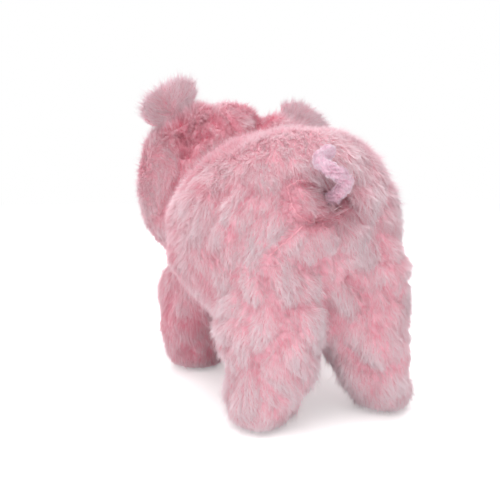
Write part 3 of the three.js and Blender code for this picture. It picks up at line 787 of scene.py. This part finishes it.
# Places where the pile's colour is painted rosier and deeper as shade: a pixel place, reach and share
PAINTED_SHADE_PX = {
    "neck": ((207, 147), 0.014, 0.16),
    "front_leg": ((196, 338), 0.020, 0.20),
    "shin_left": ((281, 344), 0.008, 0.30),
    "back": ((275, 150), 0.012, 0.12),
    "flank": ((222, 235), 0.022, 0.10),
    "tail_root": ((330, 192), 0.017, 0.32),
}


def fold_points(surface):
    """Points of the folds laid on the surface where the camera sees them, with their depths and partings."""
    tree = surface.tree()
    found, strengths = [], []
    for depth, parting, line in FOLDS_PX.values():
        for first, last in zip(line, line[1:]):
            steps = max(1, round(math.dist(first, last) / FOLD_STEP_PX))
            for i in range(steps + 1):
                hit = seen_point(tree, *part_way(first, last, i / steps))
                if hit is not None:
                    found.append(tuple(hit))
                    strengths.append((depth, parting))
    return np.array(found), np.array(strengths)


def swelling(surface):
    """How far the stuffing bulges at each corner. A hollow runs on along the view."""
    tree = surface.tree()
    total = np.zeros(len(surface.corners))
    for (x, y), reach, height in SWELLS_PX.values():
        way = np.array(pixel_ray(x, y)[1])
        hit = seen_point(tree, x, y)
        if hit is not None:
            offset = surface.corners - np.array(hit)
            if height < 0:
                offset -= np.outer(offset @ way, way) * (1 - 1 / HOLLOW_STRETCH)
            total += height * near(offset, reach)
    return total


def painted_shade_places(surface):
    """Where the pile is painted rosier as shade: places on the surface, with their reach and share."""
    tree = surface.tree()
    return [(np.array(seen_point(tree, *place)), reach, share) for place, reach, share in PAINTED_SHADE_PX.values()]


def pocket_field(points, seed):
    """Distance past the edge between pockets, and the way from each point to its own pocket's middle."""
    random = np.random.RandomState(seed)
    low, high = points.min(0) - POCKET_SIZE, points.max(0) + POCKET_SIZE
    steps = [np.arange(a, b, POCKET_SIZE) for a, b in zip(low, high)]
    grid = np.stack(np.meshgrid(*steps, indexing="ij"), -1).reshape(-1, 3)
    middles = grid + random.uniform(-POCKET_SHIFT, POCKET_SHIFT, grid.shape) * POCKET_SIZE
    warp = np.stack([Noise(POCKET_WARP_SIZE, seed + k)(points) for k in range(3)], 1) * POCKET_WARP
    tree = place_tree(middles)
    found = [tree.find_n(p, 2) for p in (points + warp).tolist()]
    edge = np.array([(f[1][2] - f[0][2]) / 2 for f in found])
    own = np.array([f[0][0][:] for f in found])
    return edge, unit(own - points)


def crumple_share(points):
    """How crumpled the cloth is at each point: most on the rump and legs, least on the flanks."""
    _, y, z = points.T
    rump = smoothstep(*CRUMPLE_RUMP_Y, y) * (1 - smoothstep(*CRUMPLE_RUMP_Z, z))
    low = 1 - smoothstep(*CRUMPLE_LOW_Z, z)
    head = smoothstep(*CRUMPLE_HEAD_Y, y)
    shares = CRUMPLE_SHARES
    total = shares["all"] + shares["rump"] * rump + shares["low"] * low + shares["head"] * head
    return np.clip(total, 0, 1)


def leg_join(first, second):
    """A weight of 1 where a leg meets the body, and 0 for other seams."""
    return float(("_leg_" in first) != ("_leg_" in second) and "sole" not in first + second)


def soften_joins(surface):
    """Rounds the skin where the legs leave the body, as the filling does."""
    joins, weights = surface.seam_corners(leg_join)
    distance, _, _ = nearest(surface.corners, surface.corners[joins[weights > 0]])
    share = fading(distance, JOIN_REACH)[:, None]
    rounded = surface.blurred(surface.corners, JOIN_STEPS)
    surface.corners = surface.corners + (rounded - surface.corners) * share
    surface.outer = surface.corners.copy()
    surface.find_normals()


def root_tufts(points):
    """How the pile leans and stands up round the roots of the tail and ears, the snout, and on the crown."""
    low, high = (np.array(v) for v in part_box("snout_side"))
    middle, half = (low + high) / 2, (high - low) / 2
    outward = (points - middle) * np.array([1.0, 0.0, 1.0])
    past_snout = (np.linalg.norm(outward / half, axis=1) - 1) * half[0]
    by_snout = fading(past_snout, SNOUT_TUFT_REACH) * (points[:, 1] < high[1] + SNOUT_TUFT_BACK)
    tail_way = points - TAIL_ROOT
    by_tail = near(tail_way, TAIL_TUFT_REACH)
    lean = unit(tail_way) * (-TAIL_TUFT_LEAN * by_tail)[:, None]
    lean -= unit(outward) * (SNOUT_TUFT_LEAN * by_snout)[:, None]
    rise = TAIL_TUFT_RISE * by_tail + SNOUT_TUFT_RISE * by_snout
    rise += CROWN_RISE * smoothstep(*CROWN_Z, points[:, 2]) * (points[:, 1] < 0)
    for side, root in EAR_ROOTS.items():
        low, high = (np.array(v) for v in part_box(f"ear_{side}_back"))
        by_ear = near(points - root, EAR_TUFT_REACH)
        lean += by_ear[:, None] * unit((low + high) / 2 - root)
        rise += by_ear * EAR_TUFT_RISE
    return lean, rise


def shape_skin(surface):
    """Draws the skin in under the pile and gives it its lumps, pockets, seams and folds, and the painted
    shade that deepens the pile's colour in them and round the tail's root.
    """
    soften_joins(surface)
    points, normals = surface.outer, surface.normals
    sole = smoothstep(0.0, SOLE_RISE, points[:, 2] - SOLE_START)
    crumple = crumple_share(points)

    edge, inward = pocket_field(points, SEED + 20)
    pocket = fading(edge, POCKET_EDGE) * crumple * sole
    seams, weights = surface.seam_corners(seam_weight)
    seam_distance, number, seam_away = nearest(points, points[seams])
    weight = weights[number]
    seam = surface.blurred(fading(seam_distance, SEAM_REACH) * weight * sole, SEAM_STEPS)
    folds, strengths = fold_points(surface)
    fold_distance, number, fold_away = nearest(points, folds)
    depth, parting = strengths[number].T
    least, more = CREASE_REACH_SHARES
    fold = fading(fold_distance, CREASE_REACH * (least + more * depth)) * depth * sole

    lump = Noise(LUMP_SIZE, SEED + 1)(points) * LUMP_HEIGHT
    lump += Noise(SMALL_LUMP_SIZE, SEED + 2)(points) * SMALL_LUMP_HEIGHT
    move = (lump + swelling(surface)) * sole - (SOLE_PILE + (PILE_HEIGHT - SOLE_PILE) * sole)
    move = move - POCKET_DEPTH * pocket - SEAM_DEPTH * seam - CREASE_DEPTH * fold

    # Painted shade: the creases, pockets and seams, blurred close by and over a wider valley, and the tail's
    # root deepen the pile's colour. The same field shortens the pile
    sharp = np.clip(pocket * POCKET_SHARPNESS + seam * SEAM_SHARPNESS + fold, 0, 1)
    creased = surface.blurred(sharp, 1) * CREASE_SHADE_NEAR + surface.blurred(sharp, VALLEY_STEPS) * CREASE_SHADE_WIDE
    by_tail = near(points - TAIL_ROOT, TAIL_SHADE_REACH)
    surface.creased = np.maximum(np.clip(creased, 0, 1), TAIL_SHADE * by_tail)
    lean = inward * (fading(edge, LEAN_REACH) * crumple * POCKET_LEAN)[:, None]
    lean += seam_away * (fading(seam_distance, LEAN_REACH) * weight * SEAM_LEAN)[:, None]
    lean += fold_away * (fading(fold_distance, LEAN_REACH) * parting)[:, None]
    root_lean, surface.rise = root_tufts(points)
    surface.lean = lean + root_lean
    surface.nap = np.clip(1 - crumple * NAP_CRUMPLE, 0, 1) * sole
    surface.drawn = -surface.blurred(move, 1)
    surface.corners = points - normals * surface.drawn[:, None]
    surface.corners[:, 2] = np.maximum(surface.corners[:, 2], FLOOR_GAP)
    surface.find_normals()


shape_skin(skin)


# Pile


def base_flow(points):
    """The way the pile is brushed: back over the body, down the legs and rump, and away from the snout."""
    _, y, z = points.T
    head = (smoothstep(*FLOW_HEAD_Y, y) * smoothstep(*FLOW_HEAD_Z, z))[:, None]
    top = smoothstep(*FLOW_TOP_Z, z)[:, None]
    return (1 - head) * (BODY_FLOW + top * BODY_TOP_FLOW) + head * (HEAD_FLOW + top * HEAD_TOP_FLOW)


def scatter(surface, faces, spacing, random):
    """Spreads places evenly over some faces, and gives a function that reads values of corners at them."""
    quads = surface.quads[faces]
    corners = surface.corners[quads]
    area = np.linalg.norm(np.cross(corners[:, 2] - corners[:, 0], corners[:, 3] - corners[:, 1]), axis=1) / 2
    wanted = area / spacing**2
    count = np.floor(wanted + random.uniform(0, 1, len(wanted))).astype(int)
    own = np.repeat(np.arange(len(quads)), count)
    u, v = random.uniform(0, 1, (2, len(own)))
    weights = np.stack([(1 - u) * (1 - v), u * (1 - v), u * v, (1 - u) * v], 1)[:, :, None]

    def at(values):
        picked = values[quads[own]]
        return (picked * (weights if picked.ndim == 3 else weights[:, :, 0])).sum(1)

    return at


def flat(vectors, normals):
    """Vectors with what they have along the normals taken out."""
    return vectors - normals * (vectors * normals).sum(1, keepdims=True)


def patches(places, size_and_weight, seed):
    """A noise of some size, times its weight."""
    size, weight = size_and_weight
    return Noise(size, seed)(places) * weight


def turned(vectors, axes, angles):
    """Vectors square to their axes, turned about them."""
    c, s = np.cos(angles)[:, None], np.sin(angles)[:, None]
    return vectors * c + np.cross(axes, vectors) * s


# Kinds of pile, lengths in metres: its slot, the length and width of a strand, the space between clumps and
# their spread; the pull of a clump's tips together, the rise of a strand for each step along the skin, the
# turn of clumps, the stray of tips and the share of strands that stand out
Pile = namedtuple("Pile", "slot length width spacing spread pull lift swirl stray guard")
LONG_PILE = Pile("fur", 0.0080, 0.00030, 0.00135, 0.0006, 0.40, 0.32, 0.6, 0.07, 0.16)
PATCH_PILE = Pile("fur", 0.0050, 0.00028, 0.00125, 0.0006, 0.3, 0.30, 0.4, 0.06, 0.1)
EAR_PILE = Pile("fur", 0.0082, 0.00028, 0.0012, 0.0006, 0.35, 0.38, 0.5, 0.05, 0.2)
LINING_PILE = Pile("short_pile", 0.0036, 0.00026, 0.0011, 0.0005, 0.2, 0.4, 0.5, 0.04, 0.1)
SNOUT_PILE = Pile("short_pile", 0.0024, 0.00024, 0.0009, 0.0004, 0.1, 0.5, 0.5, 0.05, 0.1)
TERRY_PILE = Pile("short_pile", 0.0015, 0.00026, 0.0007, 0.0003, 0.0, 1.2, 4.0, 0.15, 0.1)

# The pile of a node, by a word in its name. The other nodes have the long pile
PILES = {
    "patch": PATCH_PILE,
    "back": EAR_PILE,
    "lining": LINING_PILE,
    "snout": SNOUT_PILE,
    "tail": TERRY_PILE,
}


def grow(name, surface, faces, pile, flow, tone_of, body, seed):
    """Grows pile on some faces of a surface, as pieces that each hold a part of it."""
    random = np.random.RandomState(seed)
    at = scatter(surface, faces, pile.spacing, random)
    place = at(surface.corners)
    normal = unit(at(surface.normals))
    creased, lean, rising, nap = (at(v) for v in (surface.creased, surface.lean, surface.rise, surface.nap))
    count = len(place)
    off_floor = smoothstep(*FLOOR_FADE_Z, place[:, 2])

    # The way each clump lies, how long it is and how steeply it rises
    way = flat(flow(place), normal)
    way = unit(way + random.normal(0, WAY_STRAY, way.shape))
    turn = patches(place, TURN_WIDE, SEED + 3) + patches(place, TURN_FINE, SEED + 4)
    way = turned(way, normal, pile.swirl * turn + random.normal(0, TURN_STRAY, count))
    way = unit(flat(way + flat(lean, normal) * LEAN_WEIGHT, normal))
    tall = np.clip(random.normal(1, LENGTH_STRAY, count), *LENGTH_RANGE)
    tall *= 1 + patches(place, LENGTH_PATCH, SEED + 5)
    tall *= (1 - LENGTH_CREASED * creased) * (1 + rising) * (1 - NAP_SHORTER * nap)
    tall *= FLOOR_LENGTH + (1 - FLOOR_LENGTH) * off_floor
    lift = pile.lift * (1 + patches(place, LIFT_PATCH, SEED + 6) + random.normal(0, LIFT_STRAY, count))
    tufted = random.uniform(0, 1, count) < TUFT_SHARE
    lift = np.clip(lift, *LIFT_RANGE) + tufted * random.uniform(*TUFT_LIFT, count)
    tall *= 1 + TUFT_LONGER * tufted
    lift = (lift + rising + NAP_LIFT * nap) * (FLOOR_LIFT + (1 - FLOOR_LIFT) * off_floor)
    clump_tip = place + unit(normal * lift[:, None] + way) * (pile.length * tall)[:, None]
    # Painted shade: the tone falls in creases, towards the deep colour
    tone = np.clip(tone_of(place) - CREASE_SHADE_TONE * creased + random.normal(0, TONE_STRAY, count), *TONE_RANGE)

    # The strands of each clump
    own = np.repeat(np.arange(count), STRANDS_PER_CLUMP)
    total = len(own)
    side = np.cross(normal, way)
    off = random.normal(0, pile.spread, (2, total))
    shift = side[own] * off[0][:, None] + way[own] * off[1][:, None]
    longer = np.clip(random.normal(1, LENGTH_STRAY, total), *LENGTH_RANGE)
    guard = random.uniform(0, 1, total) < pile.guard
    rise = lift[own] + guard * random.uniform(*GUARD_LIFT, total) * off_floor[own]
    root = place[own] + shift - normal[own] * pile.width
    reach = (pile.length * tall[own] * longer)[:, None]
    tip = root + unit(normal[own] * rise[:, None] + way[own]) * reach
    tip += (clump_tip[own] - tip) * (pile.pull * ~guard)[:, None]
    tip += random.normal(0, pile.length * pile.stray, (total, 3))
    for ends in (root, tip):
        ends[:, 2] = np.maximum(ends[:, 2], FLOOR_GAP)
    tones = tone[own] + GUARD_TONE * guard + random.normal(0, TONE_STRAND_STRAY, total)
    tones = np.clip(tones, *TONE_STRAND_RANGE)

    order = np.argsort(place[own][:, 1], kind="stable")
    parts = max(1, math.ceil(total / STRANDS_PER_PIECE))
    for number, chosen in enumerate(np.array_split(order, parts), 1):
        label = name if parts == 1 else f"{name}_{number}"
        mesh = strand_mesh(label, root[chosen], tip[chosen], normal[own][chosen], tones[chosen], pile)
        piece = new_object(label, mesh, PILE_MATERIALS[pile.slot])
        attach(piece, body)


def strand_mesh(name, root, tip, normal, tone, pile):
    """Blades from roots to tips. The UV layer that colours them holds their tone and the share along them."""
    count = len(root)
    way = unit(tip - root)
    side = unit(np.cross(way, normal))
    up = np.cross(side, way)
    ridge = root + (tip - root) * BLADE_RIDGE_SHARE + up * (pile.width * BLADE_THICKNESS)
    half = side * (pile.width / 2)
    corners = np.stack([root - half, root + half, tip, ridge], 1).reshape(-1, 3)
    faces = (np.array(BLADE_FACES)[None] + 4 * np.arange(count)[:, None, None]).reshape(-1, 3)
    mesh = new_mesh(name, corners, faces)
    ends = np.sort(values_of(mesh.edges, "vertices", 2, np.int32) % 4, axis=1)
    keys = ends[:, 0] * 4 + ends[:, 1]
    sharp = np.isin(keys, [a * 4 + b for a, b in BLADE_RIM])
    mesh.attributes.new("sharp_edge", "BOOLEAN", "EDGE").data.foreach_set("value", sharp)
    across = tone[:, None] + np.array(BLADE_ACROSS)[None]
    along = np.broadcast_to(BLADE_ALONG, (count, 4))
    uv = np.stack([across, along], -1).reshape(-1, 2)
    layer = mesh.uv_layers.new(name="OFBake", do_init=False)
    layer.data.foreach_set("uv", uv[faces.ravel()].astype(np.float32).ravel())
    return mesh


painted_shades = painted_shade_places(skin)


def body_tone(points):
    """Rosier on the flanks and front legs, paler and greyer on the rump and rear legs, and rosier still in
    spots of painted shade.
    """
    _, y, z = points.T
    rear = smoothstep(*TONE_REAR_Y, y)
    low = 1 - smoothstep(*TONE_LOW_Z, z)
    head = smoothstep(*TONE_HEAD_Y, y)
    patch = sum(patches(points, kind, SEED + 8 + number) for number, kind in enumerate(TONE_PATCHES))
    # Painted shade: the tone falls in these spots, towards rosy and deep
    for place, reach, share in painted_shades:
        patch -= share * near(points - place, reach)
    shares = TONE_SHARES
    total = shares["all"] + shares["rear"] * rear + shares["rear_low"] * rear * low + shares["head"] * head
    return total + patch


def dress(surface, body, flow, tone_of, backing, thickness, seed, seed_step=1):
    """Dresses each node of a surface: a closed sheet of cloth that replaces it, and the pile on that."""
    for number, node in enumerate(surface.nodes):
        pile = next((pile for word, pile in PILES.items() if word in node), LONG_PILE)
        used, quads = surface.panel(number)
        corners, normals = surface.corners[used], surface.normals[used]
        sheet = thick_sheet(f"{node}_backing", corners, normals, quads, thickness, backing)
        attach(sheet, body)
        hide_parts(node)
        faces = np.nonzero(surface.labels == number)[0]
        grow(f"{node}_pile", surface, faces, pile, flow, tone_of, body, seed + number * seed_step)


dress(skin, "stuffed_body", base_flow, body_tone, backing_material, SKIN_THICKNESS, SEED + 100)


# Ears


def dress_ear(side, seed):
    surface = Skin([f"ear_{side}_back", f"ear_{side}_lining"], EAR_VOXEL, FINE_SMOOTHING)
    root = EAR_ROOTS[side]
    offset = surface.corners - root
    across = np.linalg.svd(offset - offset.mean(0), full_matrices=False)[2][2]
    surface.corners = surface.corners - EAR_RIM_SHARE * (offset - np.outer(offset @ across, across))
    surface.inset(EAR_PILE_HEIGHT)
    along = unit(surface.corners.mean(0) - root)
    parting = root + along * EAR_PARTING

    def flow(points):
        return unit(points - parting) + along * EAR_FLOW_ALONG

    def tone(points):
        tip = smoothstep(*EAR_TIP_RANGE, np.linalg.norm(points - root, axis=1))
        return EAR_TONE + EAR_TIP_TONE * tip + patches(points, EAR_TONE_PATCH, seed)

    dress(surface, f"ear_{side}", flow, tone, backing_material, EAR_SHEET, seed + 10, seed_step=10)


for side, seed in (("left", SEED + 200), ("right", SEED + 240)):
    dress_ear(side, seed)


# Snout and nostrils


def dress_snout():
    """Dresses the snout, and gives its cover as a tree of places."""
    nodes = ["snout_front", "snout_side"]
    surface = Skin(nodes + ["snout_stuffing"], SNOUT_VOXEL, FINE_SMOOTHING, nodes)
    surface.inset(SNOUT_PILE_HEIGHT)
    middle = surface.corners.mean(0)

    def flow(points):
        return unit(points - middle) * np.array([1.0, 0.0, 1.0]) + SNOUT_FLOW

    def tone(points):
        return SNOUT_TONE + patches(points, SNOUT_TONE_PATCH, SEED + 300)

    for side in ("left", "right"):
        low, high = (np.array(v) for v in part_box(f"nostril_{side}"))
        middles = surface.corners[surface.quads].mean(1)
        inside = np.all((middles > low - NOSTRIL_MARGIN) & (middles < high + NOSTRIL_MARGIN), axis=1)
        # The pile on and round the nostrils is short and takes the deep colour of painted shade
        surface.creased[surface.quads[inside].ravel()] = 1
    dress(surface, "stuffed_body", flow, tone, terry_backing, SKIN_THICKNESS, SEED + 310)
    return surface.tree()


def nostril(node):
    """An oval pad of satin stitches that run upright, raised in the middle."""
    low, high = (np.array(v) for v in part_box(node))
    middle, half = (low + high) / 2, (high - low) / 2
    x, z = circle(*np.eye(2), NOSTRIL_THREADS * NOSTRIL_STEPS_PER_THREAD).T
    rings = []
    for number in range(2 * NOSTRIL_RINGS + 2):
        is_front = number <= NOSTRIL_RINGS
        share = (number if is_front else 2 * NOSTRIL_RINGS + 1 - number) / NOSTRIL_RINGS
        dome = math.sqrt(1 - share**2)
        ridge = np.abs(np.sin(x * share * math.pi * NOSTRIL_THREADS / 2)) * NOSTRIL_RIDGE * dome
        front = half[1] * (NOSTRIL_RIM + (1 - NOSTRIL_RIM) * dome) - NOSTRIL_RIDGE + ridge
        depth = front if is_front else np.full(len(x), -half[1])
        rings.append(middle + np.stack([x * share * half[0], -depth, z * share * half[2]], 1))
    piece = ringed(f"{node}_stitches", rings, satin_material)
    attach(piece, "stuffed_body")
    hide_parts(node)


snout_cover = dress_snout()
for side in ("left", "right"):
    nostril(f"nostril_{side}")


# Eyes


def safety_eye(side):
    """A glossy dome and its stem, turned about the line through the eye and its washer."""
    corners, _ = node_mesh(f"eye_{side}")
    washer, _ = node_mesh(f"eye_washer_{side}")
    start = (washer.min(0) + washer.max(0)) / 2
    middle = (corners.min(0) + corners.max(0)) / 2
    axis = unit(middle - start)
    height = (corners - start) @ axis
    radius = np.linalg.norm(corners - start - height[:, None] * axis, axis=1)
    wide, top, bottom = radius.max(), height.max(), height.min()
    rim_heights = height[radius > wide * EYE_RIM]
    base, rim = rim_heights.min(), rim_heights.max()
    stem = radius[height < base - EYE_STEM_GAP].max()
    profile = [
        (0, bottom),
        (stem * (1 - EYE_STEM_ROUND), bottom),
        (stem, bottom + stem * EYE_STEM_ROUND),
        (stem, base),
        (wide * (1 - EYE_BACK_ROUND), base),
        (wide, base + wide * EYE_BACK_ROUND),
        (wide, rim),
    ]
    for i in range(1, EYE_ARC_STEPS):
        angle = math.pi / 2 * i / EYE_ARC_STEPS
        profile.append((wide * math.cos(angle), rim + (top - rim) * math.sin(angle)))
    profile.append((0, top))
    piece = lathe(f"eye_{side}_dome", profile, start, axis, eye_material)
    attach(piece, "stuffed_body")
    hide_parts(f"eye_{side}")


def lathe(name, profile, start, axis, material):
    """A profile of radii and heights turned about an axis."""
    side = unit(np.cross(axis, [0.0, 0.0, 1.0]))
    around = circle(side, np.cross(axis, side), LATHE_STEPS)
    rings = [start + axis * height + around * radius for radius, height in profile]
    return ringed(name, rings, material)


for side in ("left", "right"):
    safety_eye(side)


# Tail


def dress_tail():
    """Dresses the tail with its wrinkles and their painted shade, and gives its cover as a tree of places."""
    surface = Skin(["tail_sleeve", "tail_cord"], TAIL_VOXEL, FINE_SMOOTHING, ["tail_sleeve"])
    surface.inset(TAIL_PILE_HEIGHT)
    low, high = (np.array(v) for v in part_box("tail_sleeve"))
    rise = (surface.corners[:, 2] - low[2]) / (high[2] - low[2])
    gathers = 1 - np.abs(Noise(TAIL_WRINKLE, SEED + 400)(surface.corners * TAIL_WRINKLE_STRETCH))
    crease = smoothstep(*TAIL_WRINKLE_EDGE, gathers) * (1 - smoothstep(*TAIL_WRINKLE_FADE, rise))
    surface.corners = surface.corners - surface.normals * (crease * TAIL_CREASE)[:, None]
    surface.find_normals()
    # Painted shade: the tail's wrinkles deepen the pile's colour, and shorten it
    surface.creased = crease * TAIL_CREASE_SHADE

    def flow(points):
        return np.tile(TAIL_FLOW, (len(points), 1))

    def tone(points):
        return TAIL_TONE + patches(points, TAIL_TONE_PATCH, SEED + 401)

    dress(surface, "tail", flow, tone, terry_backing, TAIL_SHEET, SEED + 410)
    return surface.tree()


tail_cover = dress_tail()


# Filling


def clear_of_tail(points):
    """Points moved out of the hollow that holds the root of the tail."""
    away = points - TAIL_ROOT
    distance = np.linalg.norm(away, axis=1, keepdims=True)
    return TAIL_ROOT + unit(away) * np.maximum(distance, TAIL_HOLLOW)


def kept_inside(points, cover, margin):
    """Points moved, where they need it, to lie at least a margin under the nearest place of a cover."""
    found = [cover.find_nearest(p)[:2] for p in points.tolist()]
    hit = np.array([f[0][:] for f in found])
    normal = np.array([f[1][:] for f in found])
    depth = ((hit - points) * normal).sum(1)
    return points - normal * np.maximum(margin - depth, 0)[:, None]


def fill(node, body, kind, seed, cover, margin, under=None):
    """Loose fibre filling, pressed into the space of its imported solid, and in under a drawn-in skin."""
    voxel, lump = kind
    surface = Skin([node], voxel, FILLING_SMOOTHING)
    depth = np.full(len(surface.corners), FILLING_DRAWN)
    for number, (size, weight) in enumerate(FILLING_WAVES):
        depth += patches(surface.corners, (lump * size, weight), seed + number)
    depth *= lump
    if under:
        _, number, _ = nearest(surface.corners, under.outer)
        depth += surface.blurred(np.maximum(under.drawn[number] - WALL_SPARE, 0), 2)
    surface.corners = surface.corners - surface.normals * depth[:, None]
    surface.corners = kept_inside(surface.corners, cover, margin)
    if under:
        surface.corners = clear_of_tail(surface.corners)
    name = f"{node}_fibre"
    piece = new_object(name, new_mesh(name, surface.corners, surface.quads), filling_material)
    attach(piece, body)
    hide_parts(node)


body_cover = skin.tree()
for number, node in enumerate(FILLING_NODES):
    fill(node, "stuffed_body", BODY_FILLING, SEED + 500 + number, body_cover, FILLING_MARGIN, skin)
fill("snout_stuffing", "stuffed_body", SNOUT_FILLING, SEED + 510, snout_cover, FILLING_MARGIN)
fill("tail_cord", "tail", CORD_FILLING, SEED + 520, tail_cover, TAIL_SHEET * CORD_MARGIN)


# Thread of the closing seam, sewn by hand along the patch's edge

SEAM_LINES_PX = {
    "closing_seam_side": [(286, 186), (289, 195), (292, 204), (297, 213)],
    "closing_seam_top": [(287, 186), (294, 182), (302, 180), (309, 181)],
    "closing_seam_low": [(297, 213), (305, 219), (315, 222), (323, 217)],
    "closing_seam_flank": [(303, 227), (292, 237), (280, 246), (268, 256)],
}


def seam_thread(name, line):
    """Thread laid along pixel places of the photograph, in and out of the cloth."""
    points = []
    for first, last in zip(line, line[1:]):
        for i in range(THREAD_STEPS):
            start, way = pixel_ray(*part_way(first, last, i / THREAD_STEPS))
            hit, normal, _, _ = body_cover.ray_cast(start, way)
            bob = abs(math.sin(math.pi * len(points) / THREAD_BOB))
            points.append(np.array(hit) + np.array(normal) * (THREAD_LIFT + THREAD_RADIUS * 2 * bob))
    piece = tube(name, np.array(points), THREAD_RADIUS, THREAD_SIDES, thread_material)
    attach(piece, "stuffed_body")


def tube(name, points, radius, steps, material):
    """A closed round tube through some points."""
    way = unit(np.gradient(points, axis=0))
    side = unit(np.cross(way, [0.3, 0.1, 1.0]))
    up = np.cross(way, side)
    rings = [place + circle(a, b, steps) * radius for place, a, b in zip(points, side, up)]
    first, last = (np.tile(points[end], (steps, 1)) for end in (0, -1))
    return ringed(name, [first, *rings, last], material, in_triangles=True)


for name, line in SEAM_LINES_PX.items():
    seam_thread(name, line)


# Light and floor


def area_light(name, place, size, power):
    data = bpy.data.lights.new(name, "AREA")
    data.shape, data.size, data.energy = "SQUARE", size, power
    aimed(name, data, Vector(place), Vector(LAMP_TARGET) - Vector(place))


def world_light():
    """Plain light from all round, seen as white by the camera, in gloss and through glass."""
    world = bpy.data.worlds.new("studio")
    world.use_nodes = True
    tree = world.node_tree
    tree.nodes.clear()
    path = add_node(tree, "LightPath")
    seen = path.outputs["Is Camera Ray"]
    for ray in ("Is Glossy Ray", "Is Transmission Ray"):
        either = add_node(tree, "Math", links={0: seen, 1: path.outputs[ray]}, operation="MAXIMUM")
        seen = either.outputs[0]
    links = {"Fac": seen}
    for number, level in ((1, WORLD_LEVEL), (2, 1)):
        light = add_node(tree, "Background", {"Color": (1, 1, 1, 1), "Strength": level})
        links[number] = light.outputs[0]
    mix = add_node(tree, "MixShader", links=links)
    add_node(tree, "OutputWorld", links={"Surface": mix.outputs[0]})
    bpy.context.scene.world = world


def make_floor():
    """A pale floor that keeps the shadow and looks white to the camera."""
    material, tree, shader = node_material("floor_white")
    white = (FLOOR_WHITE, FLOOR_WHITE, FLOOR_WHITE, 1)
    values = {"Base Color": white, "Roughness": 1, "Specular IOR Level": 0}
    set_inputs(shader, {**values, "Emission Color": (1, 1, 1, 1)})
    camera_ray = add_node(tree, "LightPath").outputs["Is Camera Ray"]
    glow = add_node(tree, "Math", {1: FLOOR_GLOW}, {0: camera_ray}, operation="MULTIPLY")
    tree.links.new(glow.outputs[0], shader.inputs["Emission Strength"])
    half = FLOOR_HALF
    corners = np.array([(-half, -half, 0), (half, -half, 0), (half, half, 0), (-half, half, 0)])
    floor = new_object("floor", new_mesh("floor", corners, np.array([[0, 1, 2, 3]])), material)


world_light()
for name, (place, size, power) in LAMPS.items():
    area_light(name, place, size, power)
make_floor()
bpy.context.scene.view_settings.view_transform = "Standard"

for side in ("left", "right"):
    washer = frame["nodes"][f"eye_washer_{side}"]
    washer.data.materials.clear()
    washer.data.materials.append(washer_material)
